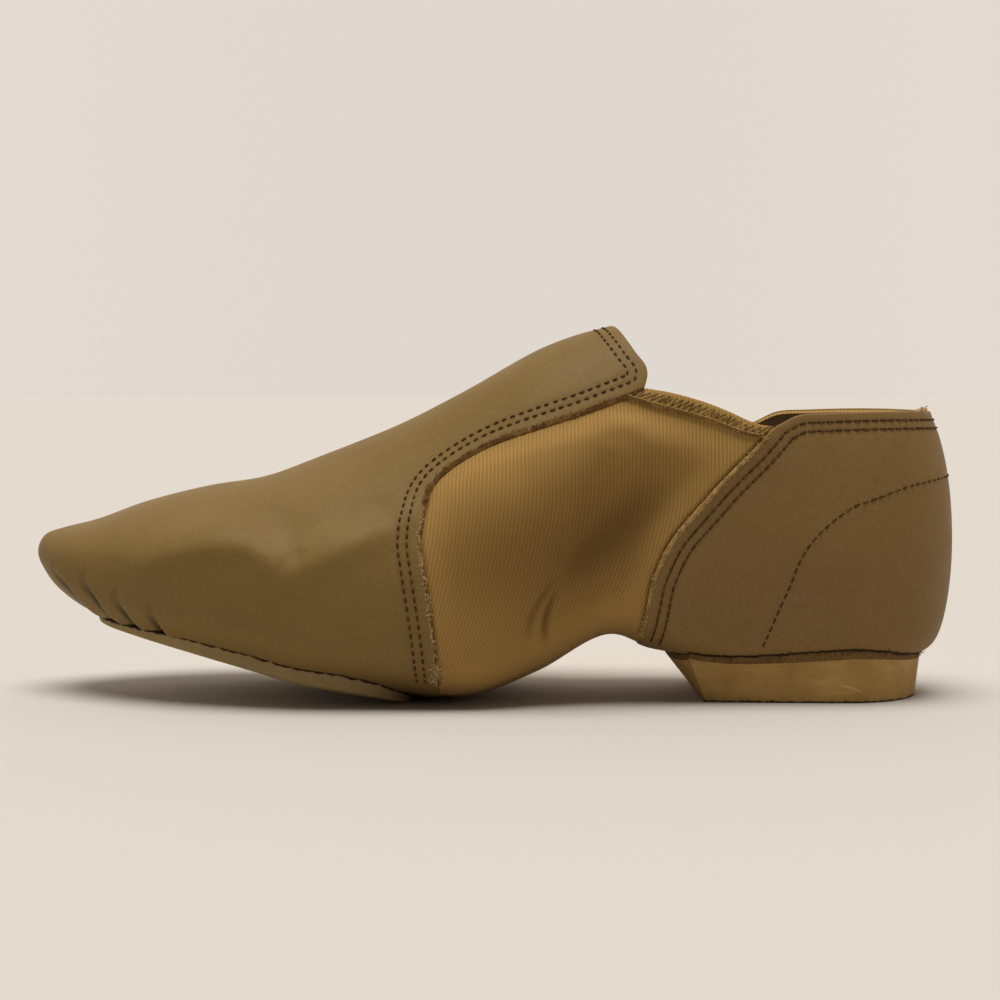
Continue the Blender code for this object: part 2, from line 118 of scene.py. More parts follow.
# Panel edges on the form, each row a station and a turn
VAMP_EDGE = [
    (8.64, 0.300), (8.57, 0.411), (8.43, 0.547), (8.38, 0.601), (8.42, 0.657), (8.52, 0.722),
    (8.78, 0.757), (9.27, 0.779), (10.00, 0.778), (10.70, 0.780), (11.30, 0.796), (11.80, 0.819),
]
TAB_EDGE = [
    (11.12, 1.000), (11.33, 0.936), (11.59, 0.892), (11.82, 0.866), (11.88, 0.850), (11.86, 0.834),
    (11.80, 0.819),
]
GORE_COLLAR = [
    (11.80, 0.819), (12.24, 0.815), (12.74, 0.803), (13.20, 0.788), (13.62, 0.772), (13.90, 0.771),
]
COUNTER_EDGE = [
    (11.74, 0.200), (11.93, 0.354), (12.07, 0.412), (12.33, 0.487), (12.72, 0.564), (13.15, 0.646),
    (13.67, 0.732), (13.90, 0.771),
]
COUNTER_COLLAR = [
    (13.90, 0.771), (14.24, 0.794), (14.68, 0.800), (15.10, 0.804), (15.55, 0.807), (16.00, 0.808),
]
FOOT_EDGE = [
    (0.0, 0.300), (8.6, 0.300), (11.7, 0.200), (13.0, 0.225), (16.0, 0.232),
]
# The single row of stitches that holds the heel's inner stiffener, from the back to the seat
STIFFENER_ROW = [
    (16.00, 0.672), (15.62, 0.664), (15.33, 0.647), (15.13, 0.619), (15.03, 0.604), (14.87, 0.585),
    (14.63, 0.549), (14.39, 0.500), (14.22, 0.446), (14.09, 0.384), (13.92, 0.322), (13.76, 0.268),
    (13.68, 0.236),
]

BALL_OPENING = (3.6, 7.4)
HEEL_OPENING = (13.0, BACK)
NO_OPENING = (BACK, BACK)

# Where the sole patch and the heel lie, as shares of LENGTH from the toe
SOLE_FRONT = 0.068
SOLE_REAR = 0.416
SOLE_HALF = 0.0315
SOLE_FLARE = 0.17
SOLE_RIM_DROP = 0.45
SOLE_FRONT_POWER = 2.0
SOLE_REAR_POWER = 3.8
HEEL_FRONT = 0.690
HEEL_BREAST_SLANT = 0.0046
HEEL_BREAST_BULGE = 0.0048
HEEL_FLOOR_BULGE = 0.0010
HEEL_HALF_SHARE = 0.83
HEEL_BACK_SHARE = 0.715
HEEL_FRONT_NARROWING = 0.90
HEEL_FLARE = 0.0012
SEAT_SAG = 0.0010
HEEL_LEAD = -LENGTH / 2 + HEEL_FRONT * LENGTH + HEEL_BREAST_BULGE
SEAT_OVERHANG = 0.0002
GLUE_OVERHANG = 0.0003
SOLE_SOFT_SHARE = 0.35
SOLE_SOFT_REACH = 0.06

# Overlapping tucks in the leather round the toe, each from its top down to the sole
TUCKS = [
    # depth, width, path of stations and turns
    (0.0016, 0.0030, [(1.97, 0.440), (2.45, 0.400), (2.85, 0.330), (3.12, 0.225)]),
    (0.0024, 0.0034, [(2.99, 0.465), (3.22, 0.420), (3.45, 0.355), (3.74, 0.244)]),
    (0.0024, 0.0032, [(3.74, 0.430), (3.90, 0.384), (4.05, 0.330), (4.20, 0.250)]),
    (0.0022, 0.0032, [(4.36, 0.418), (4.46, 0.372), (4.58, 0.310), (4.66, 0.240)]),
]
# Soft swells and hollows: station and turn of the middle, reach along X and Z, and height
VAMP_SWELLS = [
    # station, turn, along, upright, height
    (5.55, 0.540, 0.015, 0.0060, 0.0009),
    (7.55, 0.540, 0.013, 0.0090, 0.0010),
    (6.60, 0.640, 0.008, 0.0070, -0.0006),
    (4.30, 0.620, 0.014, 0.0060, -0.0004),
]
# The brow over the dented side, the brow of the gore, the fold that crosses it and the line of its painted
# shade
BROW = [(4.20, 0.550), (4.65, 0.572), (5.13, 0.590), (5.65, 0.596), (6.20, 0.592), (6.80, 0.550)]
SHOULDER = [(8.75, 0.700), (9.28, 0.671), (9.84, 0.654), (10.65, 0.675), (11.70, 0.722), (12.90, 0.722)]
VALLEY = [(12.90, 0.700), (12.10, 0.618), (11.37, 0.515), (10.65, 0.437), (10.28, 0.410)]
SHADE = [(8.60, 0.500), (9.30, 0.490), (10.10, 0.480), (10.90, 0.510), (11.80, 0.580), (12.90, 0.700)]
# Ridges and hollows of the dented side: height, reach over and under the line, and the line itself
VAMP_RIDGES = [
    # height, over, under, path of stations and turns
    (0.0034, 0.0090, 0.0042, BROW),
    (0.0027, 0.0085, 0.0052, [(7.00, 0.560), (7.30, 0.586), (7.62, 0.612), (8.05, 0.650)]),
    (-0.0013, 0.0075, 0.0060, [(5.90, 0.720), (6.35, 0.668), (6.72, 0.620), (6.92, 0.598), (7.05, 0.590)]),
    (-0.0010, 0.0060, 0.0050, [(7.30, 0.640), (7.60, 0.665), (7.90, 0.690), (8.15, 0.715)]),
]
# Where the side is dented most, and there the height, wavelength and seed of its fine wrinkles
DENT = [(6.85, 0.600, 0.0070, 0.0045, 0.00022)]
DENT_WRINKLES = (1.0, 0.0040, 6)
# Low waves of the surfaces: height, wavelength and seed
VAMP_WAVES = (0.00010, 0.030, 3)
GORE_WAVES = (0.00012, 0.020, 5)
COUNTER_WAVES = (0.00008, 0.035, 8)
SEAM_WAVES = (0.00022, 0.0045, 14)
RIM_WAVES = (0.00012, 0.0025, 41)
GLUE_WAVES = ((0.00018, 0.006, 12), (0.00012, 0.0018, 13))
RIPPLE_WAVES = 7
RIPPLE_PACES = (0.7, 1.4)
# Heights and reaches of a tuck: its lap, the groove at its lip, the hollow before it, and the shade painted
# under its lip
TUCK_GROWTH = 2.5
TUCK_LAP = 0.34
TUCK_LAP_REACH = 1.2
TUCK_LIP = 0.15
TUCK_LIP_WIDTH = 0.0006
TUCK_HOLLOW = 0.30
TUCK_HOLLOW_REACH = 1.10
TUCK_STEP = 0.00020
TUCK_SHADE = 0.92
TUCK_SHADE_WIDTH = 0.0019
TUCK_SHADE_FADE = 0.0010
RIDGE_TURN = 0.0015
GORE_SWELLS = [
    # station, turn, along, upright, height
    (11.09, 0.310, 0.0080, 0.0075, 0.0012),
    (9.20, 0.330, 0.0120, 0.0090, 0.0012),
    (11.67, 0.450, 0.0070, 0.0090, 0.0008),
]
GORE_RIDGES = [
    # height, over, under, path of stations and turns
    (0.0040, 0.0150, 0.0140, SHOULDER),
    (-0.0028, 0.0090, 0.0065, VALLEY),
    (-0.0015, 0.0060, 0.0060, [(10.98, 0.70), (10.83, 0.622), (10.71, 0.535), (10.50, 0.45), (10.25, 0.40)]),
]
# Folds of the gore with shade painted along them; the last row is painted shade only, with no depth
GORE_FOLDS = [
    # depth, width, painted shade, path of stations and turns
    (0.0010, 0.0036, 0.20, [(10.95, 0.690), (10.83, 0.622), (10.71, 0.535), (10.45, 0.455)]),
    (0.0010, 0.0016, 0.62, [(10.50, 0.452), (10.28, 0.430), (10.05, 0.402), (9.88, 0.365), (9.84, 0.310)]),
    (0.0011, 0.0014, 0.70, [(10.36, 0.416), (10.20, 0.385), (10.08, 0.340), (10.10, 0.280)]),
    (0.0004, 0.0115, 0.72, [(12.50, 0.665), (12.10, 0.614), (11.37, 0.511), (10.65, 0.433), (9.95, 0.385)]),
    (0.0000, 0.0180, 0.52, SHADE),
]
COUNTER_SWELLS = [
    # station, turn, along, upright, height
    (14.30, 0.620, 0.0120, 0.0110, -0.0006),
    (15.30, 0.420, 0.0150, 0.0160, 0.0004),
]

# The seam down the back of the counter, and the shade painted in it
BACK_SEAM_WIDTH = 0.0007
BACK_SEAM_DEPTH = 0.0004
BACK_SEAM_SHADE = 0.7
# How reliefs fade beside the leathers' edges, and how the gore sinks beside them and under its hem, with
# shade painted beside the edges and in the hem's groove
RELIEF_FADE = 0.004
GORE_SINK = 0.0016
GORE_EDGE_SHADE = 0.5
GORE_SIDE_FADE = 0.009
GORE_TOP_FADE = 0.016
HEM_STEP = 0.0005
HEM_ROUNDING = 0.0009
HEM_GROOVE = 0.0006
HEM_GROOVE_DEPTH = 0.00015
HEM_GROOVE_SHADE = 0.35
# The groove along a stitched row and the shade painted in it, the worn rim of a leather, and the deepest
# painted shade
ROW_GROOVE = 0.0009
ROW_DEPTH = 0.00013
ROW_SHADE = 0.10
WORN_SHARE = 0.35
WORN_WIDTH = 0.0004
DARKEST = 0.95

# Stitching
PITCH = 0.0024
THREAD = 0.00035
FINE_THREAD = THREAD * 0.85
COUNTER_THREAD = THREAD * 0.80
# How much of its pitch a stitch covers, and how high it lies
FILL = 0.62
VAMP_FILL = 0.45
COUNTER_FILL = 0.78
FULL = 0.95
LIFT = 0.00008
COUNTER_LIFT = 0.00004
LOOSE_LIFT = 0.0001
STITCH_DIP = 0.00026
HOLE = 0.00026
# Rings of the dark dome painted for a needle hole's shade: share of its radius, and height over the surface
HOLE_RINGS = ((1.0, -0.0002), (1.0, 0.00003), (0.6, 0.00009))
VAMP_ROWS = (0.0031, 0.0054)
COUNTER_FRONT_ROWS = (0.0030, 0.0054)
COLLAR_ROWS = (0.0026, 0.0050)
HEM_LINE = 0.0043
HEM_LINE_GAP = 0.0009
HEM_PITCH = 0.0013
ZIGZAG = (0.0011, 0.0033)
ZIGZAG_PITCH = 0.0016
ZIGZAG_ARCH = 0.00012
# The seam round the sole patch, its ends and side as shares of the patch
SEAM_PITCH = 0.0030
SEAM_THREAD = 0.00040
SEAM_ENDS = (-0.985, 0.96)
SEAM_SIDE = 0.995
SEAM_HEIGHT = 0.0001
SEAM_TILT = 0.45
SEAM_STAND = 0.0002
SEAM_TOE_STAND = 0.0007
SEAM_TOE_FROM = 0.45
# How a line is laid beside an edge
BESIDE_STEPS = 12
BESIDE_REACH = 1e-4
KEPT_SHARE = 0.97

# Threads and scratches that the materials draw, and their shared colours
RIB_PITCH = 0.00100
TWILL_PITCH = 0.00058
TWILL_FROM = 0.060
WEAVE_PITCH = 0.0009
SCRATCH_SLANT = 0.326
SCRATCH_HEIGHT = 0.0352
SCRATCH_MIDDLE = 0.0954
WORN_LEATHER = (0.36, 0.25, 0.12)
# The colour of the shade painted into the leathers' creases, grooves and seam
PAINTED_SHADE_LEATHER = (0.035, 0.022, 0.010)

# The stage
FLOOR_REACH = 6.0
FLOOR_COLOUR = (0.655, 0.622, 0.580, 1)
SKY_COLOUR = (0.93, 0.86, 0.775, 1)
SKY_FRONT_TO_BACK = (0.02, 0.80)
SKY_ENDS = 0.32
LAMP_STRENGTH = 2.7
LAMP_SPREAD = 40
LAMP_COLOUR = (1.0, 0.97, 0.92)
LAMP_TURN = (5, 0, -14)
CAMERA_LENS = 85.4
CAMERA_PLACE = (0.00225, -0.650, 0.090)
CAMERA_DOWN = 3.28

# Counts of faces along and around
VAMP_RIBS = 224
TAB_SHARE = 3 / 16
TOE_CROWDING = 1.35
GORE_RIBS = 112
COUNTER_RIBS = 96
SIDE_ROWS = 76
LOW_ROWS_REACH = 0.38
LINING_RIBS = 56
KEEL_ROWS = 3
MARGIN_ROWS = 6
INSOLE_ROWS = 30
INSOLE_TOP_ROW = 12
INSOLE_FIRST_RIB = 12
SOLE_RIBS = 120
SOLE_WAYS = 60
PLAN_SAMPLES = 60 * PIVOT
SETTLING_STEPS = 40
WELD_CELLS = 1e5
SHARP_ANGLE = 50
EDGE_SAMPLES = 480
EDGE_STEPS = (0.00012, 0.0003, 0.0006, 0.0010)
EDGE_CLEARANCE = 1.3
EDGE_ROUNDING = 0.0005
EDGE_FALL = 0.8
SINK_SHARE = 1.3


def hermite(rows, station):
    """Values between the rows of a table, on a smooth curve through them."""
    rows = np.asarray(rows, float)
    station = np.asarray(station, float)
    before = 2 * rows[0] - rows[1]
    after = 2 * rows[-1] - rows[-2]
    ends = np.vstack([before, rows, after])
    start = np.clip(np.floor(station).astype(int), 0, len(rows) - 2)
    part = (station - start)[..., None]
    first, second, third, fourth = (ends[start + step] for step in range(4))
    bend = 2 * first - 5 * second + 4 * third - fourth
    twist = 3 * second - first - 3 * third + fourth
    return 0.5 * (2 * second + (third - first) * part + bend * part**2 + twist * part**3)


def section_columns(station):
    """The columns of SECTIONS at a station, with the toe's first section kept blunt."""
    rows = np.array(SECTIONS)
    mirror = 2 * rows[0] - rows[1]
    mirror[0] = rows[1][0]
    body = np.vstack([mirror, rows[:-1]])
    station = np.asarray(station, float)
    along_body = hermite(body, np.minimum(station, PIVOT) + 1)
    ease = np.sin(np.maximum(station - PIVOT, 0) * math.pi / 2)[..., None] ** 2
    around_heel = rows[PIVOT] + ease * (rows[BACK] - rows[PIVOT])
    return np.where((station > PIVOT)[..., None], around_heel, along_body)


def form(station):
    """Sizes in metres of the section at a station."""
    along, swing, ball, seat, spring, rise, arch, height, belly, square, taper, ridge = np.moveaxis(
        section_columns(station), -1, 0
    )
    keel = BALL_CLEARANCE + spring * TOE_SPRING + rise * HEEL_RISE + arch * ARCH_RISE
    tall = np.maximum(height * INSTEP_HEIGHT, SMALL)
    return {
        "x": along * SPINE - LENGTH / 2,
        "y": swing * TOE_SWING,
        "half": np.maximum((ball * BALL_WIDTH + seat * HEEL_WIDTH) / 2, SMALL),
        "keel": keel,
        "belly": keel + belly * tall,
        "low": np.maximum(belly * tall, SMALL),
        "high": np.maximum((1 - belly) * tall, SMALL),
        "square": square,
        "taper": taper,
        "ridge": ridge,
    }


def skin(station, turn):
    """Points on the outside of the form."""
    station = np.asarray(station, float)
    angle = np.asarray(turn, float) * math.pi
    size = form(station)
    above = np.cos(angle) < 0
    reach = np.where(above, size["high"] / (1 + size["ridge"]), size["low"])
    power = np.where(above, DOME_POWER, size["square"])
    across = np.abs(np.sin(angle)) / size["half"]
    upright = np.abs(np.cos(angle)) / reach
    radius = (across**power + upright**power) ** (-1 / power)
    crest = np.exp(-(((math.pi - np.abs(angle)) / RIDGE_SPREAD) ** 2))
    radius = radius * (1 + size["ridge"] * crest)
    below = np.clip(radius * np.cos(angle) / size["low"], 0, 1)
    out = radius * np.sin(angle) * (1 - size["taper"] * below**2)
    heel_turn = np.maximum(station - PIVOT, 0) * math.pi / 2
    x = size["x"] + np.abs(out) * np.sin(heel_turn)
    y = size["y"] + out * np.cos(heel_turn)
    z = size["belly"] - radius * np.cos(angle)
    return np.stack([x, y, z], axis=-1)


def unit(vectors):
    """Vectors scaled to length one."""
    return vectors / np.maximum(np.linalg.norm(vectors, axis=-1, keepdims=True), TINY)


def facing(station, turn):
    """Unit normals of the form, outwards."""
    station = np.asarray(station, float)
    turn = np.asarray(turn, float)
    point = skin(station, turn)
    along = skin(station + NORMAL_STEP, turn) - skin(station - NORMAL_STEP, turn)
    around = skin(station, turn + NORMAL_STEP) - skin(station, turn - NORMAL_STEP)
    normal = np.cross(along, around)
    flat = np.linalg.norm(normal, axis=-1, keepdims=True) < FLAT
    core = form(np.minimum(station, PIVOT))
    centre = np.stack([core["x"], core["y"], core["belly"]], axis=-1)
    outward = np.sum(normal * (point - centre), axis=-1, keepdims=True)
    normal = unit(normal) * np.where(outward < 0, -1, 1)
    normal = np.where(flat, np.array([0.0, 0.0, -1.0]), normal)
    toe = form(TOE_CENTRE)
    spread = unit(point - np.stack([toe["x"], toe["y"], toe["belly"]]))
    near_tip = np.clip(1 - station / TOE_CENTRE, 0, 1)[..., None]
    return unit((1 - near_tip) * normal + near_tip * spread)


def placed(line, side):
    """Points on the form and their normals, for stations and turns on one side of the foot."""
    station = line[..., 0]
    turn = side * line[..., 1]
    return skin(station, turn), facing(station, turn)


def run_along(points):
    """Distance along a line up to each of its points."""
    return np.concatenate([[0], np.cumsum(np.linalg.norm(np.diff(points, axis=0), axis=1))])


def sample(edge, shares):
    """Stations and turns at shares of the way along a panel edge."""
    fine = hermite(edge, np.linspace(0, len(edge) - 1, EDGE_SAMPLES))
    run = run_along(skin(fine[:, 0], fine[:, 1]))
    wanted = np.asarray(shares) * run[-1]
    return np.stack([np.interp(wanted, run, column) for column in fine.T], axis=-1)


def foot_edge(station):
    """The turn where the bottom of the foot meets its side."""
    rows = np.array(FOOT_EDGE)
    return np.interp(station, rows[:, 0], rows[:, 1])


def crowded(count, span):
    """Shares of a span, evenly spaced but closer to each other at both ends."""
    near = np.array(EDGE_STEPS) / span
    clear = near[-1] * EDGE_CLEARANCE
    middle = np.linspace(0, 1, count + 1)
    middle = middle[(middle > clear) & (middle < 1 - clear)]
    return np.concatenate([[0.0], near, middle, 1 - near[::-1], [1.0]])


def coons(left, right, bottom, top, across, up):
    """Stations and turns filled in between four edges of a panel."""
    across = across[:, None, None]
    up = up[None, :, None]
    sides = (1 - across) * left[None] + across * right[None]
    ends = (1 - up) * bottom[:, None] + up * top[:, None]
    low = (1 - across) * left[0] + across * right[0]
    high = (1 - across) * left[-1] + across * right[-1]
    return sides + ends - (1 - up) * low - up * high


def with_bottom(panel):
    """A panel continued under the foot, from its lowest row to the keel."""
    station = panel[:, 0, 0]
    edge = panel[:, 0, 1]
    margin = edge * np.clip(1 - LASTING_MARGIN / form(station)["half"], MARGIN_LEAST, 1)
    turns = [margin * row / KEEL_ROWS for row in range(KEEL_ROWS)]
    turns += [margin + (edge - margin) * row / MARGIN_ROWS for row in range(MARGIN_ROWS)]
    under = np.stack([np.stack([station, turn], axis=-1) for turn in turns], axis=1)
    return np.concatenate([under, panel], axis=1)


def vamp_panel(ribs, up):
    """The front of the shoe, from the toe to the gore and the back of the tab."""
    across = np.linspace(0, 1, ribs + 1)
    tab_ribs = round(ribs * TAB_SHARE)
    spread = across**TOE_CROWDING
    bottom_station = spread * VAMP_EDGE[0][0]
    bottom = np.stack([bottom_station, foot_edge(bottom_station)], axis=-1)
    left = np.stack([0 * up, FOOT_EDGE[0][1] + (1 - FOOT_EDGE[0][1]) * up], axis=-1)
    ridge_station = np.linspace(0, 1, ribs - tab_ribs + 1) ** TOE_CROWDING * TAB_EDGE[0][0]
    ridge = np.stack([ridge_station, 1 + 0 * ridge_station], axis=-1)
    tab = hermite(TAB_EDGE, np.linspace(0, len(TAB_EDGE) - 1, tab_ribs + 1))
    return with_bottom(coons(left, sample(VAMP_EDGE, up), bottom, np.vstack([ridge, tab[1:]]), across, up))


def gore_panel(across, up):
    """The stretch side between vamp and counter."""
    bottom_station = VAMP_EDGE[0][0] + (COUNTER_EDGE[0][0] - VAMP_EDGE[0][0]) * across
    bottom = np.stack([bottom_station, foot_edge(bottom_station)], axis=-1)
    top = sample(GORE_COLLAR, across)
    return with_bottom(coons(sample(VAMP_EDGE, up), sample(COUNTER_EDGE, up), bottom, top, across, up))


def counter_panel(across, up):
    """The heel's side, from the gore to the middle of the back."""
    bottom_station = COUNTER_EDGE[0][0] + (BACK - COUNTER_EDGE[0][0]) * across
    bottom = np.stack([bottom_station, foot_edge(bottom_station)], axis=-1)
    back_turn = foot_edge(BACK) + (COUNTER_COLLAR[-1][1] - foot_edge(BACK)) * up
    right = np.stack([0 * up + BACK, back_turn], axis=-1)
    top = sample(COUNTER_COLLAR, across)
    return with_bottom(coons(sample(COUNTER_EDGE, up), right, bottom, top, across, up))


def on_form(path, side, count=24):
    """Points in space along a path of stations and turns, on one side of the foot."""
    fine = hermite(path, np.linspace(0, len(path) - 1, count))
    return skin(fine[:, 0], side * fine[:, 1])


def bell(distance, width):
    """A smooth fall from 1 at no distance towards 0 beyond a width."""
    return np.exp(-((distance / width) ** 2))


def end_fade(share, least, power):
    """A factor that falls off towards both ends of a line."""
    return np.sin(math.pi * np.clip(share, least, 1 - least)) ** power


def nearest(points, line):
    """Distance from points to a line, the share along it, and the way from the line to the points."""
    runs = run_along(line)
    distance = np.full(points.shape[:-1], np.inf)
    share = np.zeros(points.shape[:-1])
    way = np.zeros(points.shape)
    for start, step, passed in zip(line[:-1], np.diff(line, axis=0), runs):
        run = np.linalg.norm(step)
        part = np.clip((points - start) @ step / max(run, SHORT) ** 2, 0, 1)
        offset = points - start - part[..., None] * step
        away = np.linalg.norm(offset, axis=-1)
        closer = away < distance
        distance = np.where(closer, away, distance)
        share = np.where(closer, (passed + part * run) / runs[-1], share)
        way = np.where(closer[..., None], offset, way)
    return distance, share, way


def ripple(points, height, wavelength, seed):
    """Smooth irregular waves through space, about as high and as deep as the height."""
    chance = np.random.default_rng(seed)
    total = np.zeros(points.shape[:-1])
    for _ in range(RIPPLE_WAVES):
        direction = chance.normal(size=3)
        direction /= np.linalg.norm(direction)
        pace = 2 * math.pi / wavelength * chance.uniform(*RIPPLE_PACES)
        total += np.sin(points @ direction * pace + chance.uniform(0, 2 * math.pi))
    return height * total / (RIPPLE_WAVES / 2)


def swells(points, side, rows):
    """Soft rises and hollows from a table."""
    height = np.zeros(points.shape[:-1])
    for station, turn, along, upright, rise in rows:
        middle = skin(station, side * turn)
        offset = points - middle
        height += rise * np.exp(-((offset[..., 0] / along) ** 2) - (offset[..., 2] / upright) ** 2)
    return height


def tuck_relief(points, side):
    """Heights of the tucks and their painted shade: the leather behind each crease laps over that before it.
    """
    height = np.zeros(points.shape[:-1])
    dark = np.zeros(points.shape[:-1])
    for depth, width, path in TUCKS:
        distance, share, way = nearest(points, on_form(path, side))
        grown = np.clip(share * TUCK_GROWTH + 0.05, 0, 1) ** 0.8
        behind = TUCK_LAP * bell(distance, TUCK_LAP_REACH * width) - TUCK_LIP * bell(distance, TUCK_LIP_WIDTH)
        before = -TUCK_HOLLOW * bell(distance, TUCK_HOLLOW_REACH * width)
        step = 0.5 + 0.5 * np.tanh(np.sign(way[..., 0]) * distance / TUCK_STEP)
        height += depth * grown * (step * behind + (1 - step) * before)
        # painted shade on the toe side of each crease, where the lap's lip would shade the leather
        shade = bell(np.maximum(distance - TUCK_SHADE_WIDTH, 0), TUCK_SHADE_FADE) * (1 - step)
        dark = np.maximum(dark, TUCK_SHADE * grown**0.6 * shade)
    return height, dark


def ridge_relief(points, side, rows):
    """Height of the ridges and hollows, each with its own reach over and under its line."""
    height = np.zeros(points.shape[:-1])
    for rise, over, under, path in rows:
        distance, share, way = nearest(points, on_form(path, side))
        above = 0.5 + 0.5 * np.tanh(way[..., 2] / RIDGE_TURN)
        reach = above * over + (1 - above) * under
        height += rise * bell(distance, reach) * end_fade(share, 0.04, 0.5)
    return height


def vamp_relief(points, side):
    """Height of the vamp's surface over the form, and the shade painted in its creases."""
    height, dark = tuck_relief(points, side)
    height += swells(points, side, VAMP_SWELLS) + ridge_relief(points, side, VAMP_RIDGES)
    height += swells(points, side, DENT) * ripple(points, *DENT_WRINKLES)
    height += ripple(points, *VAMP_WAVES)
    return height, dark


def fold_relief(points, side):
    """Height of the gore's surface over the form with its folds, and the shade painted along them."""
    height = swells(points, side, GORE_SWELLS) + ridge_relief(points, side, GORE_RIDGES)
    dark = np.zeros(points.shape[:-1])
    for depth, width, shade, path in GORE_FOLDS:
        distance, share, _ = nearest(points, on_form(path, side))
        fold = bell(distance, width) * end_fade(share, 0.03, 0.6)
        height -= depth * fold
        dark = np.maximum(dark, shade * fold)
    return height + ripple(points, *GORE_WAVES), dark


def counter_relief(points, side):
    """Height of the counter's surface over the form, with the seam down its back and the shade painted in
    that seam.
    """
    height = swells(points, side, COUNTER_SWELLS) + ripple(points, *COUNTER_WAVES)
    seam = bell(points[..., 1], BACK_SEAM_WIDTH) * (points[..., 0] > HEEL_CENTRE)
    return height - BACK_SEAM_DEPTH * seam, BACK_SEAM_SHADE * seam


def edge_distance(points, edges, side):
    """Distance from points to the nearest of some panel edges."""
    return np.minimum.reduce([nearest(points, on_form(edge, side, 60))[0] for edge in edges])


def rounded(distance, radius=EDGE_ROUNDING):
    """How far a cut edge is rounded down at a distance from it."""
    inside = np.clip(1 - distance / radius, 0, 1)
    return radius * (1 - np.sqrt(1 - inside**2)) * EDGE_FALL


def eased(share):
    """A share kept within 0 and 1, with a soft start and end."""
    share = np.clip(share, 0, 1)
    return share**2 * (3 - 2 * share)


def corner_faces(shape, keep=None):
    """Corner numbers of the faces of a grid of points."""
    number = np.arange(shape[0] * shape[1]).reshape(shape)
    faces = np.stack([number[:-1, :-1], number[1:, :-1], number[1:, 1:], number[:-1, 1:]], axis=-1)
    return faces.reshape(-1, 4) if keep is None else faces[keep]


def open_under(panel, first, last):
    """Which faces stay when the bottom is open between two stations."""
    middle = (panel[:-1, :-1, 0] + panel[1:, :-1, 0]) / 2
    keep = np.ones((panel.shape[0] - 1, panel.shape[1] - 1), bool)
    keep[:, :KEEL_ROWS] = (middle[:, :KEEL_ROWS] < first) | (middle[:, :KEEL_ROWS] > last)
    return keep


# Each leather's relief, and the edges where it fades out
VAMP_SURFACE = (vamp_relief, (VAMP_EDGE, TAB_EDGE))
COUNTER_SURFACE = (counter_relief, (COUNTER_EDGE, COUNTER_COLLAR))


def faded_height(points, side, surface):
    """Height of a leather's relief, which fades out towards the leather's edges."""
    relief, edges = surface
    return relief(points, side)[0] * np.clip(edge_distance(points, edges, side) / RELIEF_FADE, 0, 1)


def sheet_piece(name, sheets, finishes):
    """A closed piece of sheets, each with matching outer and inner points, welded where they meet.

    A sheet holds base, outer and inner points, the faces to keep and named values for its corners.
    The outside takes the first finish, the inside the second and the cut edges the third.
    """
    base, outer, inner = (
        np.concatenate([sheet[layer].reshape(-1, 3) for sheet in sheets])
        for layer in ("base", "outer", "inner")
    )
    cells = np.round(base * WELD_CELLS).astype(int)
    _, first, weld = np.unique(cells, axis=0, return_index=True, return_inverse=True)
    weld = weld.reshape(-1)
    faces = []
    start = 0
    for sheet in sheets:
        corners = corner_faces(sheet["base"].shape[:2], sheet.get("keep")) + start
        faces.append(corners if sheet["side"] == NEAR else corners[:, ::-1])
        start += sheet["base"].shape[0] * sheet["base"].shape[1]
    rings = [list(dict.fromkeys(ring)) for ring in weld[np.concatenate(faces)].tolist()]
    rings = [ring for ring in rings if len(ring) > 2]
    free = {}
    for ring in rings:
        for begin, end in zip(ring, ring[1:] + ring[:1]):
            if free.pop((end, begin), None) is None:
                free[(begin, end)] = True
    count = len(first)
    lining = [[corner + count for corner in ring[::-1]] for ring in rings]
    walls = [[end, begin, begin + count, end + count] for begin, end in free]
    data = bpy.data.meshes.new(name)
    data.from_pydata(np.vstack([outer[first], inner[first]]).tolist(), [], rings + lining + walls)
    kinds = np.repeat([0, 1, 2], [len(rings), len(lining), len(walls)])
    data.polygons.foreach_set("material_index", kinds.astype(np.int32))
    for label in sheets[0].get("values", {}):
        worth = np.concatenate([sheet["values"][label].reshape(-1) for sheet in sheets])[first]
        field = data.attributes.new(label, "FLOAT", "POINT")
        field.data.foreach_set("value", np.tile(worth, 2).astype(np.float32))
    return finished(name, data, finishes)


def finished(name, data, finishes):
    """An object of a mesh, smooth but for its sharp edges, with its materials, riding on the shoe."""
    for finish in finishes:
        data.materials.append(finish)
    data.update()
    mesh = bmesh.new()
    mesh.from_mesh(data)
    bmesh.ops.recalc_face_normals(mesh, faces=mesh.faces)
    mesh.to_mesh(data)
    mesh.free()
    data.shade_smooth()
    data.set_sharp_from_angle(angle=math.radians(SHARP_ANGLE))
    piece = bpy.data.objects.new(name, data)
    bpy.context.scene.collection.objects.link(piece)
    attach(piece, "root")
    return piece


def add(tree, kind, values=None, **fields):
    """A shader node with its fields and unlinked inputs set."""
    node = tree.nodes.new(kind)
    for field, value in fields.items():
        setattr(node, field, value)
    for socket, value in (values or {}).items():
        node.inputs[socket].default_value = value
    return node


def calc(tree, operation, first, second=None, clamp=False):
    """A math node of two inputs, each a number or an output."""
    node = add(tree, "ShaderNodeMath", operation=operation, use_clamp=clamp)
    for place, value in enumerate([first] if second is None else [first, second]):
        if isinstance(value, (int, float)):
            node.inputs[place].default_value = value
        else:
            tree.links.new(value, node.inputs[place])
    return node.outputs[0]


def blended(tree, share, first, second, kind="MIX"):
    """A mix of two colours, each a triple or an output."""
    node = add(tree, "ShaderNodeMix", data_type="RGBA", blend_type=kind)
    for place, value in ((0, share), (6, first), (7, second)):
        if isinstance(value, bpy.types.NodeSocket):
            tree.links.new(value, node.inputs[place])
        elif isinstance(value, tuple):
            node.inputs[place].default_value = (*value, 1)
        else:
            node.inputs[place].default_value = value
    return node.outputs[2]


